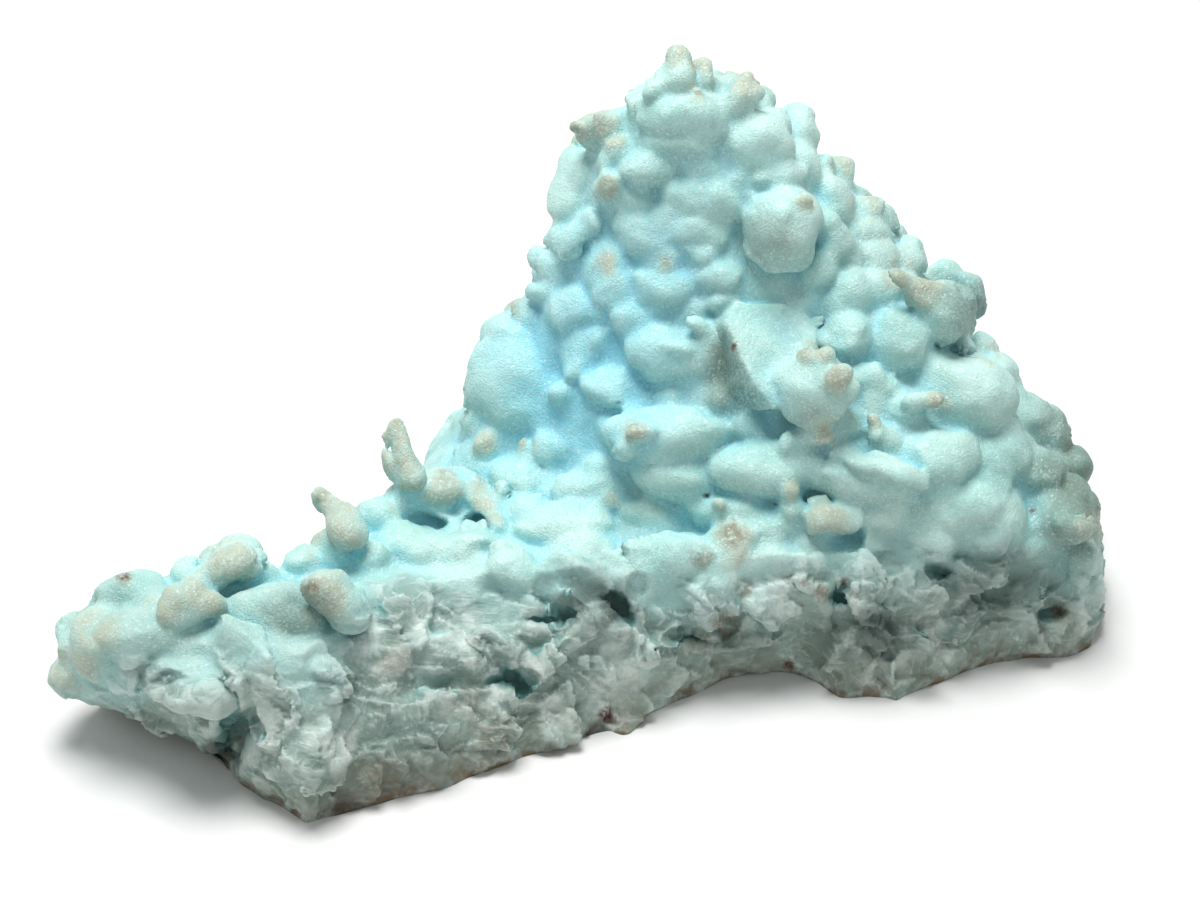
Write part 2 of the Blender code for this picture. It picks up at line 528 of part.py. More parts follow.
def add_ledges(bm, tree, rng):
    """Flat broken ledges on the front, each an uneven chip turned on the drawing plane."""
    right, lift, inward = sight_axes()
    for across, up, half_width, half_height, turn in LEDGES:
        chip = mesh_of(chip_shape, rng)
        angle = math.radians(turn)
        along = right * math.cos(angle) + lift * math.sin(angle)
        centre = sight_point(across, up, depth_seen(tree, across, up))
        axes = (along, inward.cross(along), inward)
        add_ball(bm, chip, centre, axes, (half_width, half_height, LEDGE_THICKNESS))
        bpy.data.meshes.remove(chip)


def add_lobed_mass(bm, mass, tree, ball):
    """The mass with its lobes, its block and the ledges of its broken front."""
    bm.from_mesh(mass)
    add_lobes(bm, ball, tree, FRONT_LOBES, LOBE_SUNK, LOBE_GROWTH)
    bm.from_mesh(mesh_of(add_block, tree))
    add_ledges(bm, tree, np.random.default_rng(SEED))


def add_front(bm, lobed, tree, ball):
    """The lobed mass with the knobs, fingers and ridges that stand on it."""
    bm.from_mesh(lobed)
    knobs = [(across, up, radius, radius) for across, up, radius in KNOBS]
    add_lobes(bm, ball, tree, knobs, KNOB_SUNK, KNOB_GROWTH)
    for strand in FINGERS + RIDGES:
        add_strand(bm, ball, tree, strand)


def add_surroundings(bm, front, mass, tree, ball):
    """The front, with filler lobes, the growth out of sight and the broken sides."""
    bm.from_mesh(front)
    rng = np.random.default_rng(SEED)
    samples = [(p, n) for p, n in surface_samples(mass, rng) if is_outside(tree, p, n)]
    front_tree = tree_of(front)
    add_fillers(bm, ball, samples, tree, rng)
    add_hidden_lobes(bm, ball, samples, tree, front_tree, rng)
    add_chips(bm, samples, tree, front_tree, rng)


def add_cutters(bm, ball, skin):
    """The hollows, as balls let into the skin."""
    for across, up, half_width, half_height, deep in HOLLOWS:
        depth = depth_seen(skin, across, up)
        add_ball(bm, ball, sight_point(across, up, depth), sight_axes(), (half_width, half_height, deep))


def new_object(name, mesh, collection):
    thing = bpy.data.objects.new(name, mesh)
    collection.objects.link(thing)
    return thing


def apply_modifiers(thing):
    depsgraph = bpy.context.evaluated_depsgraph_get()
    thing.data = bpy.data.meshes.new_from_object(thing.evaluated_get(depsgraph))
    thing.modifiers.clear()


def fuse(thing):
    """One closed, even skin round everything that is joined in the object."""
    skin = thing.modifiers.new("skin", "REMESH")
    skin.mode = "VOXEL"
    skin.voxel_size = SKIN_GRID * MM
    apply_modifiers(thing)


def cut_hollows(thing, cutters):
    """Takes the hollows out of the fused skin."""
    hollow = thing.modifiers.new("hollows", "BOOLEAN")
    hollow.operation = "DIFFERENCE"
    hollow.object = cutters
    apply_modifiers(thing)


def soften(thing):
    softening = thing.modifiers.new("soften", "SMOOTH")
    softening.iterations = SMOOTHING_ROUNDS
    apply_modifiers(thing)


def fill_creases(mesh):
    """Fills the creases between the lobes a little, and leaves the tops of the lobes nearly as they are."""
    pairs = np.array([edge.vertices for edge in mesh.edges])
    count = len(mesh.vertices)
    neighbours = np.bincount(pairs.ravel(), minlength=count)[:, None]
    for _ in range(CREASE_ROUNDS):
        places = np.array([vertex.co for vertex in mesh.vertices])
        normals = np.array([vertex.normal for vertex in mesh.vertices])
        total = np.zeros((count, 3))
        np.add.at(total, pairs[:, 0], places[pairs[:, 1]])
        np.add.at(total, pairs[:, 1], places[pairs[:, 0]])
        outward = CREASE_FILL * np.einsum("ij,ij->i", total / neighbours - places, normals)
        outward = np.where(outward > 0.0, outward, CREST_LOSS * outward)
        places += normals * outward[:, None]
        mesh.vertices.foreach_set("co", places.ravel())
        mesh.update()


def wander(mesh):
    """Bends the skin a little, so that no lobe is a plain ball."""
    noise.seed_set(SEED)
    for vertex in mesh.vertices:
        for strength, length in WAVES:
            vertex.co += noise.noise_vector(vertex.co / (length * MM)) * (strength * MM)


def thin(thing):
    corners = sum(len(face.vertices) - 2 for face in thing.data.polygons)
    thinning = thing.modifiers.new("thin", "DECIMATE")
    thinning.ratio = TRIANGLES / corners
    apply_modifiers(thing)


def drop_crumbs(bm):
    """Takes away the crumbs that aren't joined to the peak."""
    peak = max(bm.verts, key=lambda vertex: vertex.co.z)
    joined = {peak}
    waiting = [peak]
    while waiting:
        vertex = waiting.pop()
        fresh = {edge.other_vert(vertex) for edge in vertex.link_edges} - joined
        joined |= fresh
        waiting.extend(fresh)
    bmesh.ops.delete(bm, geom=[vertex for vertex in bm.verts if vertex not in joined], context="VERTS")


def cut_flat(mesh):
    """The flat cut that the specimen rests on, at z = 0."""
    bm = bmesh.new()
    bm.from_mesh(mesh)
    geometry = bm.verts[:] + bm.edges[:] + bm.faces[:]
    cut = bmesh.ops.bisect_plane(bm, geom=geometry, plane_co=(0, 0, 0), plane_no=(0, 0, 1), clear_inner=True)
    rim = [item for item in cut["geom_cut"] if isinstance(item, bmesh.types.BMEdge)]
    bmesh.ops.holes_fill(bm, edges=rim)
    bmesh.ops.triangulate(bm, faces=bm.faces)
    drop_crumbs(bm)
    bm.to_mesh(mesh)
    bm.free()


def crust_material():
    material = bpy.data.materials.new("blue_aragonite")
    material.use_nodes = True
    shader = material.node_tree.nodes["Principled BSDF"]
    shader.inputs["Base Color"].default_value = CRUST_COLOUR
    shader.inputs["Roughness"].default_value = CRUST_ROUGHNESS
    shader.inputs["Metallic"].default_value = 0.0
    return material


def build_cluster(collection, cutter_collection):
    """The fused skin of the whole specimen, before it is thinned and cut flat."""
    mass = mesh_of(add_mass)
    tree = tree_of(mass)
    ball = mesh_of(unit_ball, BALL_SUBDIVISIONS)
    lobed = mesh_of(add_lobed_mass, mass, tree, ball)
    front = mesh_of(add_front, lobed, tree_of(lobed), ball)
    cluster = new_object(NAME, mesh_of(add_surroundings, front, mass, tree, ball), collection)
    fuse(cluster)
    fill_creases(cluster.data)
    fuse(cluster)
    hollows = mesh_of(add_cutters, ball, tree_of(cluster.data))
    cutters = new_object("hollow_cutters", hollows, cutter_collection)
    cutters.hide_render = True
    cutters.display_type = "WIRE"
    cut_hollows(cluster, cutters)
    fuse(cluster)
    soften(cluster)
    wander(cluster.data)
    cluster.data.materials.append(crust_material())
    return cluster


def new_collection(name):
    collection = bpy.data.collections.new(name)
    bpy.context.scene.collection.children.link(collection)
    return collection


def main():
    clear_scene()
    cluster = build_cluster(new_collection("aragonite"), new_collection("cutters"))
    thin(cluster)
    cut_flat(cluster.data)
    cluster.data.transform(Matrix.Translation(-MIDDLE * MM))


main()
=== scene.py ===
import math

import bmesh
import bpy
import numpy as np
from mathutils import Euler, Matrix, Vector, noise
from mathutils.bvhtree import BVHTree


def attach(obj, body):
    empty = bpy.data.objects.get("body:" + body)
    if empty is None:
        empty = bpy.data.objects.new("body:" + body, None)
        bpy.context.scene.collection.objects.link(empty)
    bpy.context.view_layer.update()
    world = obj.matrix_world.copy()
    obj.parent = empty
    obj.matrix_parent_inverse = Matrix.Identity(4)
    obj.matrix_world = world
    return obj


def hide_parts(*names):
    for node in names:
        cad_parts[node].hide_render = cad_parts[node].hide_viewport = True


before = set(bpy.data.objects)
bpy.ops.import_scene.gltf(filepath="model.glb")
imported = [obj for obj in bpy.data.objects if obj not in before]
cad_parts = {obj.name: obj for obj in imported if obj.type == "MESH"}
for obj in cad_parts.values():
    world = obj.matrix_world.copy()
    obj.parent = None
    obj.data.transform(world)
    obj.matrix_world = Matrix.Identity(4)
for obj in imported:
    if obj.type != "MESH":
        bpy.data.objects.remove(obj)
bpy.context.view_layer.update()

MM = 0.001
NODE = "aragonite_cluster"
SEED = 11

# Fineness of the skin: its grid in mm, the triangles kept, and how finely a ball and a chip are divided.
SKIN_GRID = 0.54
TRIANGLES = 196000
BALL_SUBDIVISIONS = 3
CHIP_SUBDIVISIONS = 1
# How often the search for the nearest point to a sight line is repeated.
SEARCH_ROUNDS = 20

# The middle of the specimen's outline from above, which becomes the origin.
MIDDLE = Vector((1.1, -0.6, 0.0))

# The plate and the hill as level sections: height in mm, then points counterclockwise from above.
# Every section starts at its front left corner.
SECTION_POINTS = 96
CUT_ALLOWANCE = 5.0
PLATE_SECTIONS = (
    (0.0, (
        (-46, -58.5), (-25, -51), (-12, -43), (1, -37.5), (10, -32.5), (17, -27), (24, -21), (33, -19.5),
        (38, -22.5), (42, -27.5), (53, -27.5), (60, -24), (64, -20), (72, -17), (87, -14.5), (91, 4),
        (87, 18), (80, 33), (69, 38), (63, 50), (52, 56), (41, 55), (34, 47), (24, 48), (15, 56), (3, 55),
        (-6, 45), (-17, 40), (-27, 26), (-32, 11), (-40, -6), (-54, -16), (-68, -19), (-81, -24), (-81, -30),
        (-67, -36), (-57, -48),
    )),
    (10.0, (
        (-46, -57), (-27, -48.5), (-12, -39.5), (1, -34.5), (11, -30.5), (20, -26), (28, -23), (36, -23),
        (45, -26), (54, -25), (64, -19), (74, -16), (88, -13.5), (90.5, 3), (86, 20),
        (79, 34), (68, 41), (63, 51), (52, 58), (40, 57), (32, 50), (24, 51), (14, 58), (2, 55), (-7, 46),
        (-19, 39), (-29, 25), (-34, 11), (-42, -8), (-56, -19), (-72, -23), (-85, -29), (-88, -37),
        (-72, -42), (-58, -51),
    )),
    (20.0, (
        (-47, -53), (-34, -44), (-22, -35), (-8, -30), (2, -29), (13, -25), (24, -24), (36, -23),
        (46, -23), (56, -21), (66, -17), (76, -15), (87, -11), (89, 3), (83, 20),
        (75, 32), (67, 38), (61, 50), (48, 58), (38, 54), (29, 50), (20, 53), (10, 56), (-1, 52), (-9, 43),
        (-20, 38), (-25, 26), (-29, 12), (-35, 2), (-42, -12), (-56, -22), (-74, -25), (-86, -32),
        (-87, -38.5), (-73, -46), (-59, -51),
    )),
    (26.0, (
        (-46, -47), (-38, -38), (-30, -29), (-16, -27), (-6, -27), (4, -26), (14, -24), (26, -23),
        (38, -21), (48, -20), (58, -17), (66, -15), (75, -13), (84, -7), (84, 5), (79, 19),
        (71, 31), (61, 39), (54, 49), (42, 53), (33, 48), (22, 47), (12, 53), (0, 49), (-8, 40), (-17, 34),
        (-23, 19), (-25, 10), (-28, 1), (-34, -9), (-38, -15), (-52, -26), (-68, -28), (-78, -30), (-79, -36),
        (-70, -41), (-58, -46),
    )),
)
HILL_SECTIONS = (
    (18.0, (
        (-26, 12), (-17, -1), (-8, -6), (5, -13), (22, -18), (42, -19), (62, -17), (80, -10), (83, 3),
        (81, 18), (72, 31), (57, 43), (45, 52), (33, 48), (22, 47), (10, 50), (-10, 40), (-22, 28),
    )),
    (38.0, (
        (-19, 16), (-13, 8), (-5, 3), (5, -3), (20, -8), (40, -12), (60, -12), (72, -5), (75, 8),
        (71, 20), (63, 31), (53, 43), (40, 49), (29, 43), (19, 43), (8, 47), (-6, 37), (-16, 27),
    )),
    (52.0, (
        (-10, 22), (-6, 14), (1, 9), (12, 5), (27, 3), (42, 3), (54, 7), (60, 15), (59, 25),
        (54, 34), (45, 43), (35, 46), (25, 39), (16, 41), (7, 43), (-3, 35),
    )),
    (66.0, (
        (-5, 26), (-1, 18), (7, 13), (17, 10), (31, 10), (41, 15), (47, 23), (46, 31), (41, 38),
        (31, 41), (22, 36), (12, 40), (0, 34),
    )),
    (80.0, (
        (1, 26), (4, 20), (12, 17), (21, 16), (31, 18), (34, 24), (32, 30), (26, 34), (13, 33), (5, 31),
    )),
    (88.0, ((9.5, 26), (12, 22), (18, 20), (24, 22), (25, 26), (22, 29), (16, 30), (11, 28))),
)

# Lobes are set out on a drawing plane that leans back, square to the camera's line of sight.
SIGHT_TILT = math.radians(35.0)
SIGHT_AIM = Vector((2.0, -12.0, 41.0))
SIGHT_DISTANCE = 500.0

# Rounded lobes on the drawing plane, in mm: across, up, half width, half height, and for those that stand
# proud how much nearer the viewer they are.
LOBE_THICKNESS = 6.2
LOBE_GROWTH = 1.12
LOBE_SUNK = 0.22
# Smaller swellings on every lobe thick enough to bear them: how many, their size as a share of the lobe's,
# and how far they are sunk into it.
BUD_BEARER = 2.8
BUDS = 5
BUD_SHARE = (0.34, 0.6)
BUD_SUNK = 0.72
PEAK_LOBES = (
    (14.5, 55.4, 7.2, 4.6, 2.0), (7.5, 58, 2.6, 2.6), (22.8, 59, 2.8, 3.2), (13.5, 50.8, 6.5, 3.8, 0.8),
    (25.5, 51, 6, 4.5), (32.5, 51.5, 3.8, 4.4), (0.8, 53.0, 4.2, 3, 1.0), (8.7, 60, 1.6, 2.2),
    (2.6, 55.0, 3.0, 1.6), (18.5, 58.5, 3.4, 3.6), (28.5, 53.6, 3, 2.6), (4, 50, 3, 2.5),
)
UPPER_LOBES = (
    (-4, 43, 3.8, 6.6), (2, 47.7, 2.6, 2.4), (2.4, 44.1, 3, 2.4, 2.0), (8.9, 47.2, 3.6, 3.6, 1.5),
    (16.5, 47.5, 3.8, 2.6), (13.3, 42, 2.8, 2.6), (19.5, 42, 4.7, 4.6), (22.5, 45.5, 2.7, 2.7),
    (28.5, 46, 5, 3.2), (30.5, 37.5, 5.7, 5.7, 4.5), (36, 37, 3.4, 3.4), (38, 43, 3.4, 3.4),
    (38.2, 46.8, 1.9, 1.9), (38.5, 33.5, 3.7, 3.7), (44, 39.5, 3.0, 3.0), (46.6, 38, 2.1, 2.4),
    (45.2, 31.8, 3.4, 3.2), (36, 29.5, 3.4, 3.4), (40.5, 46, 2.2, 2.2), (11, 38, 3.4, 3.4),
)
MIDDLE_LOBES = (
    (8, 36, 5, 4), (16, 37, 5, 3.2), (16.5, 33.6, 3.0, 2.6), (-7.2, 30, 3.2, 3.4), (1.5, 30.6, 4.2, 3.0),
    (3, 26.5, 4.6, 4.2), (11, 27.5, 5, 4), (19.5, 29.5, 3.8, 2.7), (6.5, 22, 5, 4.2), (-4, 23.5, 3.8, 3.8),
    (-8, 26.0, 3.4, 2.2), (-11.5, 22.8, 2.4, 2.6), (0, 18, 3.0, 2.8), (10.5, 16.4, 5.4, 4.6, 1.4),
    (-3.5, 14.5, 3.1, 3.0), (2.5, 10.5, 5.5, 3.2), (-6, 10.5, 2.4, 2.4), (11, 9, 2.6, 2.4),
    (-13.5, 11, 8.6, 9, -2.0), (-15, 18, 5, 5, -1.0), (-18, 4, 4.6, 6, -1.0), (-5, 35, 3, 3),
)
RIGHT_LOBES = (
    (36, 10, 5.8, 5.8, 7.0), (41, 18.8, 4.4, 4.2, 1.0), (50, 18.4, 5.4, 5.0, 1.5), (46.6, 26.4, 3.6, 3.4),
    (61.5, 9, 7.6, 6.4, 1.5), (71, 6, 3.6, 3.6), (74.6, 2.6, 3.2, 4.6), (78, -3.5, 3.2, 4),
    (58, 21.5, 4.4, 4.2, 4.0), (56, 14, 4.2, 3.8),
    (44, 11, 3.7, 3.5), (47.5, 10, 3, 2.9), (51, 7, 3.3, 3.1), (46.5, 1, 3.3, 3.4), (29, -3, 10, 4.6),
    (57.5, -1.5, 5.6, 4.4), (66, -4, 3.0, 2.8), (59.5, -9, 8, 5), (57, 28.6, 3.4, 3, -1.0),
    (60.8, 26, 3.0, 3.4, -1.0), (72, -4, 5, 4.5), (76, -11.5, 4.8, 4.8), (41.5, 26, 4.2, 3.8),
    (79.5, -10, 3, 4.4), (50.4, 31, 3, 2.8), (66.2, 12, 3.6, 3.6), (40, 4, 4.4, 3.4), (80, -18, 3, 4),
)
TERRACE_LOBES = (
    (11, 2.8, 10, 4.8, 2.5), (13, -4, 7, 3.8, 1.0), (0, -7, 7, 3.4), (-6, -13.5, 7.5, 4.6), (-3, -17, 6, 2.8),
    (46.5, -11, 4.6, 3.2), (38, -12.3, 4.4, 2.6), (22, -16, 4.6, 4.6), (13, -17.5, 5.6, 3.8),
    (-14.5, -20.5, 3.6, 3.0), (22, -10, 7, 3.4), (31, -12, 6, 3.4), (8, -11, 6, 3.6), (54, -12, 4.6, 3.2),
    (45, -5, 8.5, 4.4, 1.0),
)
TAIL_LOBES = (
    (-61.5, -19.6, 4.4, 3.8), (-71, -26.6, 6, 2.9), (-65, -26, 2.6, 2.5), (-69.5, -20.8, 2.4, 2.4),
    (-78, -24.6, 5, 3.4), (-83.5, -32.5, 4.4, 5), (-76, -31, 7, 4), (-88.6, -38, 3.4, 2.6),
    (-54, -29, 8, 5, -2.0), (-56, -21, 3, 2.5), (-43.6, -16.6, 4.6, 4.2, 1.5), (-38, -18.6, 3.4, 3.0, 1.0),
    (-46.2, -24.6, 3.6, 3.6, 3.5), (-42, -27, 3.4, 3.4), (-37, -12.5, 4, 3.8), (-31, -16.5, 6, 3.6, -1.0),
    (-22, -17, 6, 3.4, -1.0), (-49, -19.2, 3.2, 3.0), (-12, -10.5, 4.4, 2.6),
)
FRONT_LOBES = PEAK_LOBES + UPPER_LOBES + MIDDLE_LOBES + RIGHT_LOBES + TERRACE_LOBES + TAIL_LOBES
# Small knobs on the lobes, nearly whole balls: across, up, radius.
KNOB_SUNK = -0.3
KNOB_GROWTH = 1.0
KNOBS = (
    (24.3, 61.0, 1.5), (16, 59.6, 1.2), (-0.4, 55.2, 1.1), (-4, 53.4, 1.2), (10.8, 31, 1.3), (-19, 1.2, 2.8),
    (34.2, 15.6, 1.7), (36.9, 15.8, 1.8), (38.9, 11.8, 2.7), (6, 3, 2.4), (4, 0.5, 1.9), (1.5, -9, 1.8),
    (20, -9, 1.3), (61.8, 18, 1.6), (64.5, 15.8, 1.3), (-57.5, -19.2, 1.1), (83.6, -23.3, 1.5),
    (34.2, 41.4, 1.4), (-17.3, -7.6, 1.1), (-19.8, -6.2, 1.1), (45.8, 5, 1.3), (77.2, -12.5, 2.6),
    (-14.2, 24.0, 1.2),
)
# Fingers, then ridges: foot across and up, tip across and up, foot radius, tip radius, and how far the
# tip stands nearer the viewer than the foot, in mm.
FINGERS = (
    (12.8, 61, 13.2, 66.0, 2.7, 1.5, 0.5), (9, 60, 11.4, 63.6, 2.0, 1.5, 0.0),
    (17, 61.5, 17.4, 64.2, 2.2, 1.6, 0.8), (23, 58, 24.6, 61.6, 2.6, 0.9, 0.5),
    (24.5, 58, 26.2, 58.8, 2.4, 1.4, 1.0), (18.8, 18.2, 15.2, 21.4, 1.4, 0.9, 3.0),
    (57.6, 22.4, 49.8, 29.6, 3.9, 1.3, 6.0), (53, 8, 56, 8.2, 2.0, 1.6, 2.0),
    (45.8, 3, 45.8, 5.6, 1.5, 1.1, 1.5), (32, 1, 38, 2.8, 1.9, 1.6, 2.0),
    (32.3, -9.5, 32.3, -6.8, 2.1, 1.7, 1.5), (-12.5, -2, -12.9, 1.9, 2.0, 0.8, 2.0),
    (-31, -5, -33.8, 3.6, 2.8, 1.4, 0.0), (-33.2, 2.0, -35.9, 2.0, 1.4, 0.8, 0.0),
    (-32.8, -5.6, -36.1, -0.4, 2.0, 0.8, 0.0), (-42.3, -14, -43.4, -10.4, 3.2, 2.1, 0.0),
    (-43.4, -10.4, -46.3, -7.5, 2.1, 0.9, 0.5), (79, -13.2, 81.6, -12.8, 2.4, 0.8, 0.0),
)
RIDGES = (
    (-33, -8.6, -26, -6.2, 3.3, 3.0, 2.0), (-26, -6.2, -20.6, -7.6, 3.0, 2.5, 1.5),
    (-20.6, -7.6, -16.8, -12.5, 2.4, 1.8, 0.5), (-20.6, -8, -20, -5.8, 1.6, 1.0, 0.5),
    (-17.6, -10, -17.2, -7.0, 1.5, 0.9, 0.5), (-61.3, -18.8, -69.5, -25, 2.9, 3.0, 0.5),
    (-58.5, -20, -57.6, -18.6, 2.0, 1.2, 0.5), (-5.6, 34.4, -1.2, 37, 1.9, 2.0, 0.0),
    (40, -0.5, 53, -5, 1.8, 1.8, 0.5), (-46, -23.5, -41, -27.5, 3.6, 2.2, 0.0),
    (-71, -27, -65.2, -26, 2.8, 2.3, 0.0), (36.5, -11.6, 42, -11.6, 2.2, 2.4, 0.5),
    (-20, -31, -11, -38, 2.0, 2.0, 0.0), (-11, -38, 0, -27, 2.0, 1.8, 0.0),
)
# How far the middle of a finger or ridge lies above the surface, and how far apart its balls are at most,
# as shares of its radius.
STRAND_LIFT = 0.75
STRAND_STEP = 0.45
# Ledges of the broken front: across, up, half width, half height, and the turn on the drawing plane.
LEDGES = (
    (-4, -18.6, 10, 2.2, 6), (-46, -37, 6, 3, -20), (-48, -50, 4, 8, 8), (-33, -29, 7, 4, -50),
    (-31, -46, 9, 5, 15), (-18, -46, 6, 5, -30), (-56, -38, 6.5, 4.6, -12), (-70, -37, 7, 3, 5),
    (9, -33, 6, 3.4, 20), (16, -26, 6, 3, -40), (24, -31, 8, 3, 12), (36, -20, 3.8, 3.4, 30),
    (42.5, -22, 3.6, 3.4, -20), (49, -31, 9, 3, -12), (52, -24, 6, 3, 10), (62, -19, 7, 4, -8),
    (61, -29, 3, 6.5, -28), (70, -24, 6, 5, 15), (75, -30, 7, 3, 5), (-8, -47, 6, 3.6, 18),
    (-40, -56, 5, 3, 10),
)
LEDGE_THICKNESS = 2.6
# The angular block: its corners, and how far each stands nearer the viewer than the hill behind it.
BLOCK_CORNERS = (
    (17.2, 20.0, -2.0), (18.0, 11.5, -3.0), (19.0, 6.8, -3.0), (20.6, 20.6, 5.0), (24.7, 13.6, 8.0),
    (29.2, 6.6, 6.5), (23.0, 24.6, 2.0), (30.0, 24.8, 2.0), (36.2, 21.8, 1.5), (36.0, 18.0, 4.5),
    (37.0, 11.0, 3.0), (30.0, 8.0, -3.0), (30.0, 20.0, -4.0),
)

# Hollows under the chain of knuckles and in the broken front: across, up, half width, half height, depth.
HOLLOWS = (
    (-28.2, -12.2, 3.4, 1.6, 5.0), (-21.2, -11.8, 1.7, 1.7, 6.0), (2.5, -26.5, 3.2, 2.8, 3.4),
    (-8.5, -28.5, 4.2, 1.6, 3.4), (-60.8, -47.6, 3.4, 5.8, 9.0), (40, -24, 2.4, 2.0, 3.4),
    (-14, -38.6, 4.6, 1.8, 3.4), (76.5, -27, 2.2, 1.7, 3.0), (6.5, -22, 2.0, 2.2, 1.6),
    (56.5, -19.6, 2.4, 1.4, 3.0), (-72, -38, 3.0, 1.8, 1.2), (14, -31, 3.6, 1.6, 2.6),
)
# How much nearer or farther than a hollow's depth the skin may lie and still sink with it, in mm. Then
# where a hollow begins and where it is deepest, as shares of its half sizes.
HOLLOW_SLACK = 2.0
HOLLOW_EDGE = (1.2, 0.5)

# Smooth patches with no growth of their own: across, up, half width, half height.
SMOOTH_PATCHES = ((-13, 11, 10, 11), (-4, 5, 5, 7), (-52, -29, 8, 6), (27.5, 28, 5, 4.5), (-25, -9, 12, 7))

# Growth between the named lobes and on the parts out of sight, and the chips of the broken sides.
SAMPLES = 9000
FILLER_GAP = 6.0
FILLER_RADIUS = (3.2, 5.0)
FILLER_STRETCH = (0.8, 1.3)
FILLER_SUNK = 0.55
HIDDEN_GAP = 6.2
HIDDEN_RADIUS = (3.8, 7.0)
HIDDEN_STRETCH = (0.85, 1.2)
HIDDEN_SUNK = 0.15
LEAST_RADIUS = 1.4
RADIUS_STEP = 0.8
LOOK_ROUND = [math.radians(angle) for angle in range(0, 360, 30)]
LOOK_CLEAR = 0.5
CHIP_GAP = 7.5
CHIP_RADIUS = (5.0, 10.0)
CHIP_FLATNESS = 0.4
CHIP_JITTER = 0.28
CHIP_TILT = 0.6
CHIP_SUNK = 0.3
CHIP_CLEAR = 2.5
# The steepest that a normal may rise or fall on what counts as a side.
SIDE_SLOPE = 0.8

# Height of the crust's lower edge: in front, and how it rises and droops out of sight, in mm. The growth
# keeps clear of it. A droop is its share of the swing, its length in mm and where its wave starts.
RIM_HEIGHT = 25.0
RIM_DROOP = 4.0
RIM_SWING = 7.0
RIM_CLEAR = 1.0
LONG_DROOP = (0.6, 8.0, 0.9)
SHORT_DROOP = (0.4, 4.6, 0.0)

# How often the creases between lobes are filled, and how much their crests lose each time. Then how often
# the whole skin is softened.
CREASE_ROUNDS = 5
CREST_LOSS = 0.1
SOFTEN_ROUNDS = 1

# Waviness of the skin: how far it wanders, and over what length, in mm.
WAVES = ((1.3, 13.0), (0.75, 5.0))

# Fine growth on the crust, and facets of the broken sides: height and size in mm.
BUBBLES = ((0.5, 4.8), (0.2, 2.2))
BUBBLE_LEVEL = 0.35
FACETS = ((0.9, 11.0), (0.42, 4.4), (0.12, 1.6))
# How much longer facets are from left to right, how far and how often their edges bend, how steeply they
# tilt, the steps between them, and what keeps their tilts, steps and tints apart.
FACET_STRETCH = 1.2
FACET_BEND = 0.35
FACET_BENDS = 0.7
FACET_TILT = 1.6
FACET_STEP = 0.3
TILT_KEY = 37.0
STEP_KEY = 61.0
TINT_KEY = 23.0
# Growth fades out over this height above the flat cut. What lies lower than the cut's level is the cut,
# and the rest stays above it (mm).
FOOT_FADE = 1.5
CUT_LEVEL = 0.01
ABOVE_CUT = 0.02
# Uneven swelling of the crust out of sight: height and size in mm. Then the size of the sky blue patches
# and of the cream tips there, and the noise values where each begins and is full.
HIDDEN_SWELLS = ((2.6, 12.0), (1.2, 4.5))
HIDDEN_BLUE = 26.0
HIDDEN_BLUE_EDGE = (-0.05, 0.3)
HIDDEN_CREAM = 9.0
HIDDEN_CREAM_EDGE = (0.05, 0.3)

# How raggedly the crust ends: swing and length in mm.
RAGGED_RIM = ((5.0, 9.0), (2.4, 3.5))
# Where the front's rim takes over from the hidden one: the way the front faces, in y and z, how nearly the
# skin faces that way, and how far back it lies in mm. The hidden rim is painted this much lower.
FRONT_WAY = (-0.82, 0.57)
FRONT_SLOPE = (-0.1, 0.25)
FRONT_DEPTH = (14.0, 4.0)
HIDDEN_RIM_DROP = 3.0
# Where the skin is lost to the viewer's sight: how nearly it faces the viewer, and how far back it lies.
SIGHT_SLOPE = (-0.15, 0.1)
SIGHT_DEPTH = (40.0, 30.0)

# Where crust gives way to broken stone in the shape and in the finish, in mm below the rim. Less than a
# trace of either is left out. Then how far the aqua edge of the broken stone reaches.
SHAPE_BREAK = (-1.5, 5.0)
PAINT_BREAK = (-2.5, 4.5)
TRACE = 0.02
AQUA_EDGE = 12.0
# Rounds that even out the skin, for its fine and its broad relief, and the heights in mm from dip to crest.
EVEN_ROUNDS = 8
BROAD_ROUNDS = 30
FINE_RELIEF = 0.5
BROAD_RELIEF = 3.0
RELIEF_LEVEL = 0.5
# How open a place is: rays tried, how far above the skin they start and how far they reach in mm, and the
# rounds that even out the result.
OPEN_RAYS = 14
OPEN_LIFT = 0.6
OPEN_REACH = 30.0
OPEN_ROUNDS = 3
# Normals at which the painted shade of an underside and of the block's left face begins and is full.
UNDER_SLOPE = (0.25, -0.45)
BLOCK_SLOPE = (-0.1, -0.45)

# The upper edge of the broken front on the drawing plane.
RIM_LINE = (
    (-95, -40), (-87, -38), (-80, -35), (-75, -32), (-62, -31.5), (-55, -32), (-50, -32.5), (-44, -31),
    (-41, -25), (-33, -19), (-24, -21), (-18, -22), (-8, -20), (-5, -18), (0, -16.7), (4, -18.5),
    (6.5, -22.5), (13, -21), (20, -21), (28, -18.5), (31, -15.5), (52, -15.5), (56, -14.5), (70, -15),
    (76, -18), (90, -20),
)
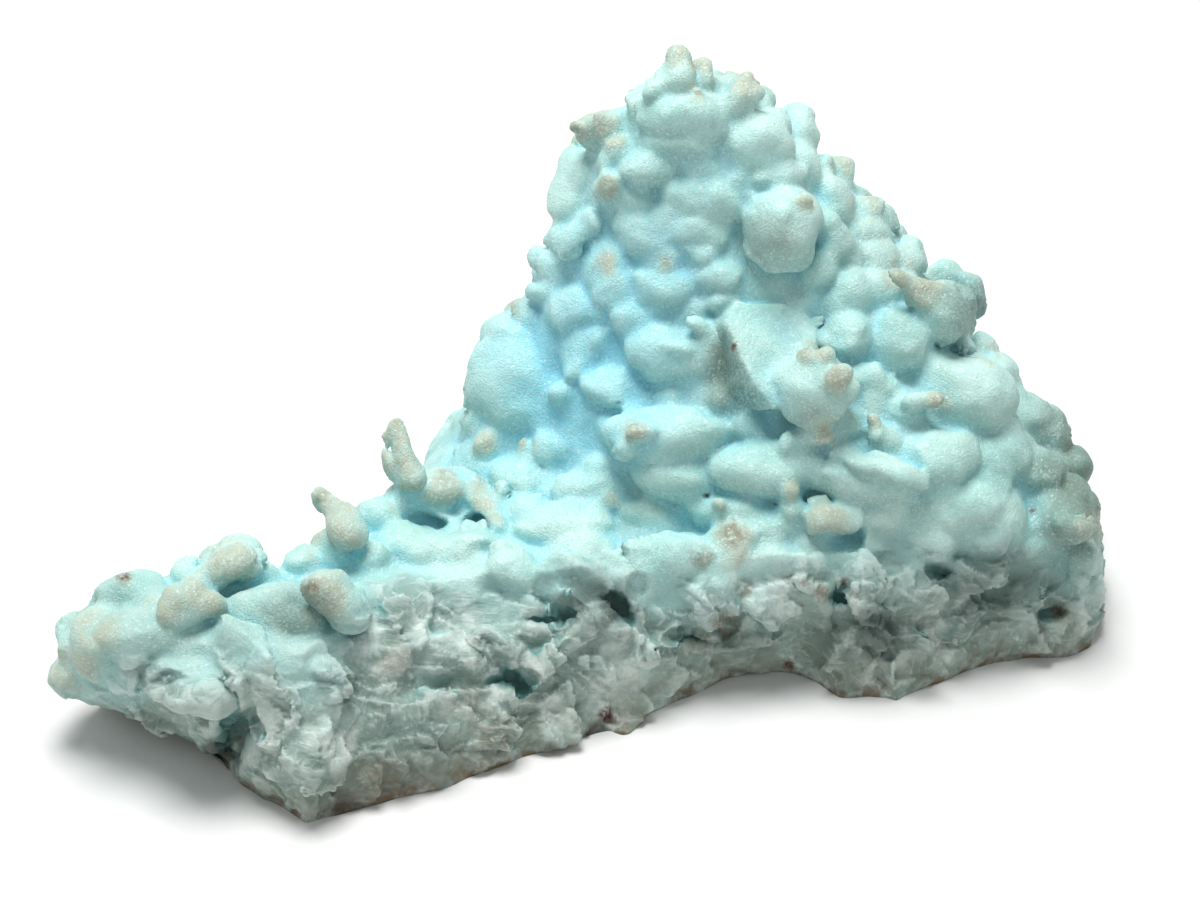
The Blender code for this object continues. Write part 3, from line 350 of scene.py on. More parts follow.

# Sky blue zones, then grey zones, partly grey stone and partly painted shade: across, up, half width, half
# height, strength.
BLUE_ZONES = (
    (-3, 14, 20, 22, 1.0), (4, 30, 20, 12, 0.75), (-4, 4, 14, 9, 0.9), (26, 6, 9, 7, 0.5),
    (12, 44, 22, 12, 0.28), (-20, -2, 8, 7, 0.6), (38, 24, 12, 8, 0.25), (-12, -9, 12, 4, 0.4),
)
GREY_AND_SHADE_ZONES = (
    (80, -4, 10, 20, 1.0), (60, 25, 9, 6, 0.7), (20.5, 13, 3.6, 8, 1.0), (0.8, 53, 5, 3.5, 0.5),
    (28, 35.4, 6, 5, 0.6), (-72, -30, 22, 9, 0.42), (-50, -28, 9, 6, 0.7), (52, 4, 30, 22, 0.12),
    (22, 62, 8, 5, 0.4), (45, 34, 12, 8, 0.3), (33.5, 6.5, 5, 4, 0.6),
)
# Zones of painted shade: across, up, half width, half height, strength.
PAINTED_SHADE_ZONES = (
    (45, -31, 13, 6, 1.0), (67, -23, 13, 7, 0.8), (0, -26, 8, 5, 1.0), (-33, -55, 17, 6, 0.6),
    (22, -33, 10, 4, 0.6), (80, -6, 6, 17, 0.4), (-50, -26, 7, 4, 0.5), (-46.6, -26, 3.4, 3, 0.6),
    (61, 23, 5, 6, 0.5),
)
# Painted shade on the block's left face: across, up, half width, half height, strength.
BLOCK_SHADE = ((19.5, 18, 4, 4, 0.65), (21.5, 13, 5, 5, 0.65), (23, 8.5, 6, 4, 0.65))
# Cream knobs and fingers, then their tan tips: across, up, radius.
CREAM_TIPS = (
    (12.6, 66, 2.4), (16.8, 64.5, 2.2), (24.4, 61.5, 3.0), (-0.4, 55.4, 2.4), (-4.4, 53.6, 3.0), (2, 53, 3.0),
    (16, 59.6, 1.8), (10.8, 31, 2.0), (-14.2, 24.2, 2.2), (34, 16.5, 2.2), (37, 16.5, 2.2),
    (39.6, 12, 3.0), (5.6, 3.4, 2.6), (1.5, -9, 2.2), (20, -9, 1.6), (50, 29.2, 3.2), (54, 27, 3.6),
    (65, 16, 2.0), (56.4, 8.2, 2.4), (45.8, 5.4, 2.0), (38, 2.8, 2.6), (32.3, -6.6, 2.0), (-12.9, 0.6, 2.4),
    (-33.8, 3, 3.6), (-35.6, -1, 3.0), (-32.5, -2.5, 3.0), (-31.5, -8, 4.0), (-26.5, -6.4, 4.0),
    (-20, -7.4, 3.4), (-17, -10, 2.6), (-43.8, -10, 3.6), (-46.2, -7.6, 2.0), (-44.0, -16, 5.4),
    (-46.2, -24.4, 4.6), (-61.5, -19.4, 5.0), (-66, -23.5, 4.0), (-64.6, -26, 2.4), (-73, -25.5, 4.0),
    (38, -11.8, 4.4), (22, -16.5, 5.0), (2, 43.6, 2.6), (1.5, 31.2, 2.4), (34.2, 41.4, 2.0),
    (81.8, -12.8, 3.0), (83.6, -23.3, 2.4), (-19, 1.6, 3.0), (40.2, 47.4, 2.4), (44.4, 40.5, 3.0),
    (-88, -37, 5.0), (-84, -30, 4.0),
)
TAN_TIPS = (
    (49.8, 29.6, 1.5), (-47.8, -22.8, 1.4), (-46.4, -7.6, 1.1), (-33.8, 4.8, 1.0), (-79.3, -21.2, 1.6),
    (5.6, 3.8, 1.6), (34.2, 16.6, 1.2), (39.4, 12, 2.0), (56.4, 8.4, 1.4), (-14.2, 24.4, 1.2),
    (-12.9, 1.9, 0.9), (24.6, 61.6, 1.0), (1, 44.4, 1.6), (37.4, 2.8, 1.4), (-4.4, 53.8, 1.2),
    (-25.6, -4.6, 1.6), (-20, -5.6, 1.0), (34, 41.6, 1.0), (16, 60.2, 0.8), (10.8, 31.6, 1.0),
    (22, -14, 1.6), (54.5, 27.2, 1.6),
)
TIP_STRENGTH = 1.0
# Brown stains and dark specks: across, up, radius, strength.
BROWN_STAINS = (
    (17, -18, 2.2, 0.5), (24, -23, 1.8, 0.6), (21, -29, 2.4, 0.6), (16.5, -32, 1.8, 0.5),
    (-23, -41, 4.0, 0.35), (-18, -47, 4.0, 0.4), (-34, -35, 3.0, 0.35), (-79.3, -21, 1.3, 1.0),
    (76.5, -27, 1.6, 0.8), (-36, -58, 8.0, 0.4), (-20, -54, 5.0, 0.4), (22, -13.5, 2.6, 0.5),
    (37, -24, 1.6, 0.6), (-48, -23, 1.2, 0.7),
)
RED_SPECKS = (
    (1, -44, 1.4, 1.0), (31.5, -36, 1.0, 1.0), (34, -38, 0.8, 0.9), (40.5, -22, 0.7, 0.9),
    (34.3, -22, 0.6, 0.9), (22.3, 17.2, 0.6, 0.9), (72, -10, 0.7, 0.8),
)
BLACK_SPECKS = (
    (30.2, 23, 0.5, 1.0), (17.8, -7.6, 0.55, 1.0), (22, -15, 0.4, 1.0), (3.3, 8, 0.3, 0.9),
    (22.5, -12, 0.3, 0.8), (-1.5, -47.5, 1.6, 0.7), (-64.5, -50, 2.0, 0.7), (-42, -60, 3.0, 0.5),
    (-8, -50.5, 2.0, 0.6), (0, -46.8, 1.5, 0.7),
)
# Where a soft spot and a soft zone begin and are full, as shares of their half sizes.
SPOT_EDGE = (1.25, 0.55)
ZONE_EDGE = (1.35, 0.25)


def sight_axes():
    """The drawing plane's directions: to the right, up along the plane, and into the object."""
    right = Vector((1.0, 0.0, 0.0))
    lift = Vector((0.0, math.sin(SIGHT_TILT), math.cos(SIGHT_TILT)))
    inward = Vector((0.0, math.cos(SIGHT_TILT), -math.sin(SIGHT_TILT)))
    return right, lift, inward


def sight_eye():
    return SIGHT_AIM - sight_axes()[2] * SIGHT_DISTANCE


def sight_point(across, up, depth):
    """The place in mm that shows at (across, up) on the drawing plane and lies depth behind it."""
    right, lift, inward = sight_axes()
    reach = (SIGHT_DISTANCE + depth) / SIGHT_DISTANCE
    return sight_eye() + (inward * SIGHT_DISTANCE + right * across + lift * up) * reach


def on_drawing_plane(places):
    """Where a place, or each of many, shows on the drawing plane: across and up, in mm."""
    right, lift, inward = (np.array(axis) for axis in sight_axes())
    from_eye = places - np.array(sight_eye())
    reach = from_eye @ inward / SIGHT_DISTANCE
    return from_eye @ right / reach, from_eye @ lift / reach


def even_outline(points, count):
    """Count points spaced evenly along a closed outline, starting at its first point."""
    corners = np.array(points + (points[0],), float)
    lengths = np.linalg.norm(np.diff(corners, axis=0), axis=1)
    along = np.concatenate(([0.0], np.cumsum(lengths)))
    stations = np.linspace(0.0, along[-1], count, endpoint=False)
    return np.column_stack([np.interp(stations, along, corners[:, axis]) for axis in (0, 1)])


def add_loft(bm, sections):
    """A closed solid through level sections, capped at both ends."""
    rings = []
    for height, points in sections:
        outline = even_outline(points, SECTION_POINTS)
        ring = [bm.verts.new((x * MM, y * MM, height * MM)) for x, y in outline]
        rings.append([bm.edges.new((a, b)) for a, b in zip(ring, ring[1:] + ring[:1])])
    for lower, upper in zip(rings, rings[1:]):
        bmesh.ops.bridge_loops(bm, edges=lower + upper)
    for ring in (rings[0], rings[-1]):
        bmesh.ops.contextual_create(bm, geom=ring)


def add_mass(bm):
    """The plate, carried down past its cut, and the hill on it."""
    height, footprint = PLATE_SECTIONS[0]
    add_loft(bm, ((height - CUT_ALLOWANCE, footprint),) + PLATE_SECTIONS)
    add_loft(bm, HILL_SECTIONS)
    bmesh.ops.recalc_face_normals(bm, faces=bm.faces)
    bmesh.ops.triangulate(bm, faces=bm.faces)


def mesh_of(build, *details):
    """The mesh that a building function leaves in a new bmesh."""
    bm = bmesh.new()
    build(bm, *details)
    mesh = bpy.data.meshes.new(build.__name__)
    bm.to_mesh(mesh)
    bm.free()
    return mesh


def tree_of(mesh):
    corners = [v.co for v in mesh.vertices]
    return BVHTree.FromPolygons(corners, [tuple(face.vertices) for face in mesh.polygons])


def nearest_to_ray(tree, eye, direction):
    """The point on the mass nearest a sight line that misses it."""
    along = SIGHT_DISTANCE
    for _ in range(SEARCH_ROUNDS):
        near = tree.find_nearest((eye + direction * along) * MM)[0] / MM
        along = (near - eye).dot(direction)
    return near


def depth_seen(tree, across, up):
    """How far behind the drawing plane the mass lies at this place, or passes nearest to it."""
    eye = sight_eye()
    direction = (sight_point(across, up, 0.0) - eye).normalized()
    hit = tree.ray_cast(eye * MM, direction)[0]
    place = nearest_to_ray(tree, eye, direction) if hit is None else hit / MM
    return (place - eye).dot(sight_axes()[2]) - SIGHT_DISTANCE


def unit_ball(bm, subdivisions):
    bmesh.ops.create_icosphere(bm, subdivisions=subdivisions, radius=1.0)


def add_ball(bm, ball, centre, axes, half_sizes):
    """A copy of the ball as an ellipsoid at centre (mm), with half sizes (mm) along three directions."""
    turn = Matrix(axes).transposed().to_4x4()
    size = Matrix.Diagonal((*[float(half) * MM for half in half_sizes], 1.0))
    copy = ball.copy()
    copy.transform(Matrix.Translation(centre * MM) @ turn @ size)
    bm.from_mesh(copy)
    bpy.data.meshes.remove(copy)


def add_buds(bm, ball, centre, half_sizes, rng):
    """Smaller swellings on a lobe, so that it isn't a plain ball."""
    axes = sight_axes()
    for _ in range(BUDS):
        share = float(rng.uniform(*BUD_SHARE))
        outward = Vector(rng.normal(size=3)).normalized()
        reach = 1.0 - BUD_SUNK * share
        offset = sum((axis * (part * half) for axis, part, half in zip(axes, outward, half_sizes)), Vector())
        add_ball(bm, ball, centre + offset * reach, axes, [half * share for half in half_sizes])


def add_lobes(bm, ball, tree, lobes, sunk, growth):
    """Rounded lobes that grow out of the mass where they show on the drawing plane."""
    rng = np.random.default_rng(SEED)
    for lobe in lobes:
        across, up, half_width, half_height, nearer = (*lobe, 0.0)[:5]
        half_width, half_height = half_width * growth, half_height * growth
        thickness = min(math.sqrt(half_width * half_height), LOBE_THICKNESS)
        centre = sight_point(across, up, depth_seen(tree, across, up) + sunk * thickness - nearer)
        half_sizes = (half_width, half_height, thickness)
        add_ball(bm, ball, centre, sight_axes(), half_sizes)
        if thickness > BUD_BEARER:
            add_buds(bm, ball, centre, half_sizes, rng)


def add_strand(bm, ball, tree, strand):
    """A finger or a ridge: balls close together from its foot to its tip."""
    foot_across, foot_up, tip_across, tip_up, foot_radius, tip_radius, reach = strand
    depth = depth_seen(tree, foot_across, foot_up)
    length = math.hypot(tip_across - foot_across, tip_up - foot_up)
    steps = max(3, math.ceil(length / (STRAND_STEP * tip_radius)))
    for share in np.linspace(0.0, 1.0, steps + 1):
        across = foot_across + share * (tip_across - foot_across)
        up = foot_up + share * (tip_up - foot_up)
        radius = foot_radius + share * (tip_radius - foot_radius)
        here = min(depth - share * reach, depth_seen(tree, across, up) - STRAND_LIFT * radius)
        add_ball(bm, ball, sight_point(across, up, here), sight_axes(), (radius,) * 3)


def add_block(bm, tree):
    """The angular block beside the middle lobes, with flat sides that meet in a prow."""
    for across, up, nearer in BLOCK_CORNERS:
        bm.verts.new(sight_point(across, up, depth_seen(tree, across, up) - nearer) * MM)
    hull = bmesh.ops.convex_hull(bm, input=bm.verts)
    buried = [item for item in hull["geom_interior"] if isinstance(item, bmesh.types.BMVert)]
    bmesh.ops.delete(bm, geom=buried, context="VERTS")


def surface_samples(mesh, rng):
    """Places spread evenly over a mesh by area, and the way the surface faces there (mm)."""
    corners = np.array([[mesh.vertices[i].co for i in face.vertices] for face in mesh.polygons]) / MM
    facing = np.array([face.normal for face in mesh.polygons])
    areas = np.array([face.area for face in mesh.polygons])
    picks = rng.choice(len(areas), size=SAMPLES, p=areas / areas.sum())
    weights = rng.dirichlet((1.0, 1.0, 1.0), size=SAMPLES)
    places = np.einsum("nc,ncx->nx", weights, corners[picks])
    return [(Vector(place), Vector(normal)) for place, normal in zip(places, facing[picks])]


def is_outside(tree, place, normal):
    """True where the surface isn't buried in another part of the mass."""
    return tree.ray_cast((place + normal) * MM, normal)[0] is None


def is_in_sight(tree, place, normal):
    """True where nothing stands between this place and the viewer."""
    direction = (sight_eye() - place).normalized()
    start = (place + normal * LOOK_CLEAR) * MM
    return normal.dot(direction) > 0.0 and tree.ray_cast(start, direction)[0] is None


def spaced(samples, gap):
    """The samples that lie at least gap from those kept before them."""
    kept = []
    places = np.empty((0, 3))
    for place, normal in samples:
        if len(kept) == 0 or np.min(np.sum((places - np.array(place)) ** 2, axis=1)) > gap * gap:
            kept.append((place, normal))
            places = np.vstack((places, np.array(place)))
    return kept


def radius_in_outline(front, centre, radius):
    """The radius, cut down until a ball there stays behind the outline that shows from the front."""
    right, lift, _ = sight_axes()
    eye = sight_eye()
    while radius > LEAST_RADIUS:
        edge = [centre + (right * math.cos(turn) + lift * math.sin(turn)) * radius for turn in LOOK_ROUND]
        if all(front.ray_cast(eye * MM, (point - eye).normalized())[0] is not None for point in edge):
            return radius
        radius *= RADIUS_STEP
    return 0.0


def random_turn(rng, most):
    return Euler([float(angle) for angle in rng.uniform(-most, most, 3)]).to_matrix()


def hidden_rim(x, y):
    """Height of the crust's lower edge at a place out of sight: it droops here and there (mm)."""
    waves = 0.0
    for (share, length, start), along in ((LONG_DROOP, x), (SHORT_DROOP, x + y)):
        waves = waves + share * np.sin(along / length + start)
    return RIM_HEIGHT - RIM_DROOP + RIM_SWING * waves


def is_below_rim(tree, place, normal):
    """True on the broken sides, clear of the flat cut."""
    rim = RIM_HEIGHT if is_in_sight(tree, place, normal) else hidden_rim(place.x, place.y)
    return CHIP_CLEAR < place.z < rim and abs(normal.z) < SIDE_SLOPE


def is_smooth(place):
    """True where the place shows in one of the smooth patches."""
    across, up = on_drawing_plane(np.array(place))
    return any(math.hypot((across - a) / w, (up - b) / h) < 1.0 for a, b, w, h in SMOOTH_PATCHES)


def add_fillers(bm, ball, samples, tree, rng):
    """Smaller lobes between the named ones, over the crust in sight."""
    lowest = RIM_HEIGHT + RIM_CLEAR
    crust = [(p, n) for p, n in samples if p.z > lowest and is_in_sight(tree, p, n)]
    for place, normal in spaced(crust, FILLER_GAP):
        radius = rng.uniform(*FILLER_RADIUS)
        stretch = rng.uniform(*FILLER_STRETCH, 3) * radius
        turn = random_turn(rng, math.pi)
        if not is_smooth(place):
            add_ball(bm, ball, place - normal * (FILLER_SUNK * radius), turn, stretch)


def add_hidden_lobes(bm, ball, samples, tree, front, rng):
    """Lobes over the crust that can't be seen from the front."""
    crust = [(p, n) for p, n in samples if p.z > hidden_rim(p.x, p.y) - RIM_CLEAR]
    hidden = [(p, n) for p, n in crust if not is_in_sight(tree, p, n)]
    for place, normal in spaced(hidden, HIDDEN_GAP):
        radius = radius_in_outline(front, place, rng.uniform(*HIDDEN_RADIUS))
        stretch = rng.uniform(*HIDDEN_STRETCH, 3) * radius
        if radius > 0.0:
            add_ball(bm, ball, place - normal * (HIDDEN_SUNK * radius), random_turn(rng, math.pi), stretch)


def chip_shape(bm, rng):
    """An uneven chip with few corners."""
    unit_ball(bm, CHIP_SUBDIVISIONS)
    for corner in bm.verts:
        corner.co *= 1.0 + float(rng.uniform(-CHIP_JITTER, CHIP_JITTER))


def add_chips(bm, samples, tree, front, rng):
    """Angular chips over the broken sides, below the crust."""
    sides = [(p, n) for p, n in samples if is_below_rim(tree, p, n)]
    for place, normal in spaced(sides, CHIP_GAP):
        chip = mesh_of(chip_shape, rng)
        radius = max(radius_in_outline(front, place, rng.uniform(*CHIP_RADIUS)), LEAST_RADIUS)
        facing = normal.to_track_quat("Z", "Y").to_matrix() @ random_turn(rng, CHIP_TILT)
        half_sizes = (radius, radius, radius * CHIP_FLATNESS)
        add_ball(bm, chip, place - normal * (CHIP_SUNK * radius), facing.transposed(), half_sizes)
        bpy.data.meshes.remove(chip)


def add_ledges(bm, tree, rng):
    """Flat broken ledges on the front, each an uneven chip turned on the drawing plane."""
    right, lift, inward = sight_axes()
    for across, up, half_width, half_height, turn in LEDGES:
        chip = mesh_of(chip_shape, rng)
        angle = math.radians(turn)
        along = right * math.cos(angle) + lift * math.sin(angle)
        centre = sight_point(across, up, depth_seen(tree, across, up))
        axes = (along, inward.cross(along), inward)
        add_ball(bm, chip, centre, axes, (half_width, half_height, LEDGE_THICKNESS))
        bpy.data.meshes.remove(chip)


def add_lobed_mass(bm, mass, tree, ball):
    """The mass with its lobes, its block and the ledges of its broken front."""
    bm.from_mesh(mass)
    add_lobes(bm, ball, tree, FRONT_LOBES, LOBE_SUNK, LOBE_GROWTH)
    bm.from_mesh(mesh_of(add_block, tree))
    add_ledges(bm, tree, np.random.default_rng(SEED))


def add_front(bm, lobed, tree, ball):
    """The lobed mass with the knobs, fingers and ridges that stand on it."""
    bm.from_mesh(lobed)
    knobs = [(across, up, radius, radius) for across, up, radius in KNOBS]
    add_lobes(bm, ball, tree, knobs, KNOB_SUNK, KNOB_GROWTH)
    for strand in FINGERS + RIDGES:
        add_strand(bm, ball, tree, strand)


def add_surroundings(bm, front, mass, tree, ball):
    """The front, with filler lobes, the growth out of sight and the broken sides."""
    bm.from_mesh(front)
    rng = np.random.default_rng(SEED)
    samples = [(p, n) for p, n in surface_samples(mass, rng) if is_outside(tree, p, n)]
    front_tree = tree_of(front)
    add_fillers(bm, ball, samples, tree, rng)
    add_hidden_lobes(bm, ball, samples, tree, front_tree, rng)
    add_chips(bm, samples, tree, front_tree, rng)


def new_object(name, data):
    thing = bpy.data.objects.new(name, data)
    bpy.context.scene.collection.objects.link(thing)
    return thing


def modify(thing, kind, **settings):
    """Runs one modifier over an object's mesh."""
    modifier = thing.modifiers.new(kind.lower(), kind)
    for name, value in settings.items():
        setattr(modifier, name, value)
    depsgraph = bpy.context.evaluated_depsgraph_get()
    thing.data = bpy.data.meshes.new_from_object(thing.evaluated_get(depsgraph))
    thing.modifiers.clear()


def wander(mesh):
    """Bends the skin a little, so that no lobe is a plain ball."""
    noise.seed_set(SEED)
    for vertex in mesh.vertices:
        for strength, length in WAVES:
            vertex.co += noise.noise_vector(vertex.co / (length * MM)) * (strength * MM)


def fill_creases(mesh, rounds):
    """Fills the creases between the lobes a little, and leaves the tops of the lobes nearly as they are."""
    pairs = neighbour_pairs(mesh)
    for _ in range(rounds):
        places = read_places(mesh)
        normals = read_normals(mesh)
        outward = np.einsum("ij,ij->i", spread(places, pairs, 1) - places, normals)
        outward = np.where(outward > 0.0, outward, CREST_LOSS * outward)
        write_places(mesh, places + normals * outward[:, None])


def sink_hollows(mesh):
    """Pushes the hollows into the front of the skin."""
    places = read_places(mesh)
    tree = tree_of(mesh)
    inward = np.array(sight_axes()[2])
    across, up = on_drawing_plane(places)
    depths = (places - np.array(sight_eye())) @ inward - SIGHT_DISTANCE
    for middle_across, middle_up, half_width, half_height, deep in HOLLOWS:
        from_middle = np.hypot((across - middle_across) / half_width, (up - middle_up) / half_height)
        in_front = np.abs(depths - depth_seen(tree, middle_across, middle_up)) < deep + HOLLOW_SLACK
        share = in_front * smooth_step(*HOLLOW_EDGE, from_middle)
        places += inward * (deep * share)[:, None]
    write_places(mesh, places)


def drop_crumbs(bm):
    """Takes away the crumbs that aren't joined to the peak."""
    peak = max(bm.verts, key=lambda vertex: vertex.co.z)
    joined = {peak}
    waiting = [peak]
    while waiting:
        vertex = waiting.pop()
        fresh = {edge.other_vert(vertex) for edge in vertex.link_edges} - joined
        joined |= fresh
        waiting.extend(fresh)
    bmesh.ops.delete(bm, geom=[vertex for vertex in bm.verts if vertex not in joined], context="VERTS")


def cut_flat(mesh):
    """The flat cut that the specimen rests on, at z = 0."""
    bm = bmesh.new()
    bm.from_mesh(mesh)
    geometry = bm.verts[:] + bm.edges[:] + bm.faces[:]
    cut = bmesh.ops.bisect_plane(bm, geom=geometry, plane_co=(0, 0, 0), plane_no=(0, 0, 1), clear_inner=True)
    rim = [item for item in cut["geom_cut"] if isinstance(item, bmesh.types.BMEdge)]
    bmesh.ops.holes_fill(bm, edges=rim)
    bmesh.ops.triangulate(bm, faces=bm.faces)
    drop_crumbs(bm)
    bm.to_mesh(mesh)
    bm.free()


def read_vectors(mesh, name):
    vectors = np.zeros(len(mesh.vertices) * 3, np.float32)
    mesh.vertices.foreach_get(name, vectors)
    return vectors.reshape(-1, 3).astype(float)


def read_places(mesh):
    return read_vectors(mesh, "co") / MM


def read_normals(mesh):
    return read_vectors(mesh, "normal")


def write_places(mesh, places):
    mesh.vertices.foreach_set("co", (places * MM).astype(np.float32).ravel())
    mesh.update()


def smooth_step(low, high, values):
    share = np.clip((values - low) / (high - low), 0.0, 1.0)
    return share * share * (3.0 - 2.0 * share)


def below_rim(places, normals):
    """How far each place lies below the crust's ragged lower edge, in mm."""
    across, up = on_drawing_plane(places)
    line = np.array(RIM_LINE, float)
    front = np.interp(across, line[:, 0], line[:, 1]) - up
    hidden = hidden_rim(places[:, 0], places[:, 1]) - HIDDEN_RIM_DROP - places[:, 2]
    facing = normals[:, 1] * FRONT_WAY[0] + normals[:, 2] * FRONT_WAY[1]
    in_front = smooth_step(*FRONT_SLOPE, facing) * smooth_step(*FRONT_DEPTH, places[:, 1])
    below = in_front * front + (1.0 - in_front) * hidden
    noise.seed_set(SEED)
    for swing, length in RAGGED_RIM:
        below += np.array([swing * noise.noise(Vector(place / length)) for place in places])
    return below


def neighbour_pairs(mesh):
    pairs = np.zeros(len(mesh.edges) * 2, np.int32)
    mesh.edges.foreach_get("vertices", pairs)
    return pairs.reshape(-1, 2)


def spread(values, pairs, rounds):
    """The values, evened out over their neighbours a number of times."""
    count = np.bincount(pairs.ravel(), minlength=len(values))[:, None]
    values = values.reshape(len(values), -1).astype(float)
    for _ in range(rounds):
        total = np.column_stack([
            np.bincount(pairs[:, 0], column[pairs[:, 1]], len(values))
            + np.bincount(pairs[:, 1], column[pairs[:, 0]], len(values))
            for column in values.T
        ])
        values = 0.5 * values + 0.5 * total / np.maximum(count, 1)
    return values


def bubble_heights(places):
    """Small rounded growth: each bubble is highest at its middle and meets the next in a crease."""
    heights = np.zeros(len(places))
    for strength, size in BUBBLES:
        nearest = np.array([noise.voronoi(Vector(place / size))[0][0] for place in places])
        heights += strength * (BUBBLE_LEVEL - nearest * nearest)
    return heights


def facet_heights(places):
    """Broken facets: each is a tilted plane of its own, a step above or below the next. Also their tints."""
    heights = np.zeros(len(places))
    tints = np.zeros(len(places))
    for strength, size in FACETS:
        for i, place in enumerate(places):
            spot = Vector((place[0] / (FACET_STRETCH * size), place[1] / size, place[2] / size))
            spot += noise.noise_vector(spot * FACET_BENDS) * FACET_BEND
            middle = noise.voronoi(spot)[1][0]
            slope = noise.cell_vector(middle * TILT_KEY).dot(spot - middle)
            step = noise.cell(middle * STEP_KEY)
            heights[i] += strength * (slope * FACET_TILT + FACET_STEP * step)
            tints[i] += noise.cell(middle * TINT_KEY) * size
    return heights, tints / sum(size for _, size in FACETS)


def in_view(places, normals):
    """How much each place shows from the front, from 0 to 1."""
    facing = normals @ -np.array(sight_axes()[2])
    return smooth_step(*SIGHT_SLOPE, facing) * smooth_step(*SIGHT_DEPTH, places[:, 1])


def strewn(places, size):
    """Soft ups and downs over the places, between about -0.5 and 0.5, each about size mm across."""
    return np.array([noise.noise(Vector(place / size)) for place in places])


def swell_heights(places):
    """Uneven swelling of the crust out of sight, so that its lobes aren't all alike."""
    return sum(strength * strewn(places, size) for strength, size in HIDDEN_SWELLS)


def roughen(mesh):
    """Bubbles on the crust and facets on the broken sides, fading out at the flat cut."""
    places = read_places(mesh)
    normals = read_normals(mesh)
    broken = smooth_step(*SHAPE_BREAK, below_rim(places, normals))
    heights = np.zeros(len(places))
    crust = broken < 1.0 - TRACE
    hidden = 1.0 - in_view(places[crust], normals[crust])
    growth = bubble_heights(places[crust]) + hidden * swell_heights(places[crust])
    heights[crust] += (1.0 - broken[crust]) * growth
    sides = broken > TRACE
    facets, _ = facet_heights(places[sides])
    heights[sides] += broken[sides] * facets
    heights *= smooth_step(0.0, FOOT_FADE, places[:, 2])
    moved = places + normals * heights[:, None]
    moved[:, 2] = np.where(places[:, 2] > CUT_LEVEL, np.maximum(moved[:, 2], ABOVE_CUT), 0.0)
    write_places(mesh, moved)


def spot_share(across, up, spots):
    """How much of each place is covered by soft round spots on the drawing plane."""
    cover = np.zeros(len(across))
    for spot_across, spot_up, radius, strength in spots:
        distance = np.hypot(across - spot_across, up - spot_up) / radius
        cover = np.maximum(cover, strength * smooth_step(*SPOT_EDGE, distance))
    return cover


def zone_share(across, up, zones):
    """How much of each place is covered by soft oval zones on the drawing plane."""
    cover = np.zeros(len(across))
    for zone_across, zone_up, half_width, half_height, strength in zones:
        distance = np.hypot((across - zone_across) / half_width, (up - zone_up) / half_height)
        cover = np.maximum(cover, strength * smooth_step(*ZONE_EDGE, distance))
    return cover


def open_share(mesh, places, normals):
    """How much of the sky each place sees, from 0 in a deep hollow to 1 on a free top."""
    tree = tree_of(mesh)
    rng = np.random.default_rng(SEED)
    rays = rng.normal(size=(OPEN_RAYS, 3))
    rays /= np.linalg.norm(rays, axis=1)[:, None]
    seen = np.zeros(len(places))
    for i, (place, normal) in enumerate(zip(places, normals)):
        start = Vector((place + normal * OPEN_LIFT) * MM)
        total = 0.0
        for ray in rays:
            facing = float(ray @ normal)
            direction = ray if facing > 0.0 else -ray
            total += abs(facing)
            if tree.ray_cast(start, Vector(direction), OPEN_REACH * MM)[0] is None:
                seen[i] += abs(facing)
        seen[i] /= total
    return seen


def relief_share(places, evened, normals, height):
    """How far each place stands out of the evened skin, from 0 in a dip to 1 on a crest."""
    outward = np.einsum("ij,ij->i", places - evened, normals)
    return np.clip(RELIEF_LEVEL + outward / height, 0.0, 1.0)


def paint(mesh):
    """What the finish needs to know of each place on the skin."""
    places = read_places(mesh)
    normals = read_normals(mesh)
    pairs = neighbour_pairs(mesh)
    across, up = on_drawing_plane(places)
    below = below_rim(places, normals)
    broken = smooth_step(*PAINT_BREAK, below)
    even = spread(places, pairs, EVEN_ROUNDS)
    broad = spread(even, pairs, BROAD_ROUNDS)
    sides = broken > TRACE
    tint = np.zeros(len(places))
    tint[sides] = facet_heights(places[sides])[1]
    visible = in_view(places, normals)
    hidden_blue = (1.0 - visible) * smooth_step(*HIDDEN_BLUE_EDGE, strewn(places, HIDDEN_BLUE))
    hidden_cream = (1.0 - visible) * smooth_step(*HIDDEN_CREAM_EDGE, strewn(places, HIDDEN_CREAM))
    cream = spot_share(across, up, [(*tip, TIP_STRENGTH) for tip in CREAM_TIPS])
    tan = spot_share(across, up, [(*tip, TIP_STRENGTH) for tip in TAN_TIPS])
    # Painted shade on the block's left face, where it faces left.
    block_face_shade = zone_share(across, up, BLOCK_SHADE) * smooth_step(*BLOCK_SLOPE, normals[:, 0])
    attributes = {
        "broken": broken,
        "near_rim": smooth_step(AQUA_EDGE, 0.0, below),
        "relief": relief_share(places, even, normals, FINE_RELIEF),
        "swell": relief_share(places, broad, normals, BROAD_RELIEF),
        "open": spread(open_share(mesh, places, normals), pairs, OPEN_ROUNDS).ravel(),
        # Painted shade: how far each place faces down.
        "underside_shade": smooth_step(*UNDER_SLOPE, normals[:, 2]),
        "blue": np.maximum(zone_share(across, up, BLUE_ZONES) * visible, hidden_blue),
        "grey_and_shade": zone_share(across, up, GREY_AND_SHADE_ZONES) * visible,
        "painted_shade": np.maximum(zone_share(across, up, PAINTED_SHADE_ZONES), block_face_shade) * visible,
        "cream": np.maximum(cream * visible, hidden_cream),
        "tan": tan * visible,
        "stain": spot_share(across, up, BROWN_STAINS) * visible,
        "red": spot_share(across, up, RED_SPECKS) * visible,
        "black": spot_share(across, up, BLACK_SPECKS) * visible,
        "tint": tint,
    }
    for name, values in attributes.items():
        attribute = mesh.attributes.new(name, "FLOAT", "POINT")
        attribute.data.foreach_set("value", np.asarray(values, np.float32))


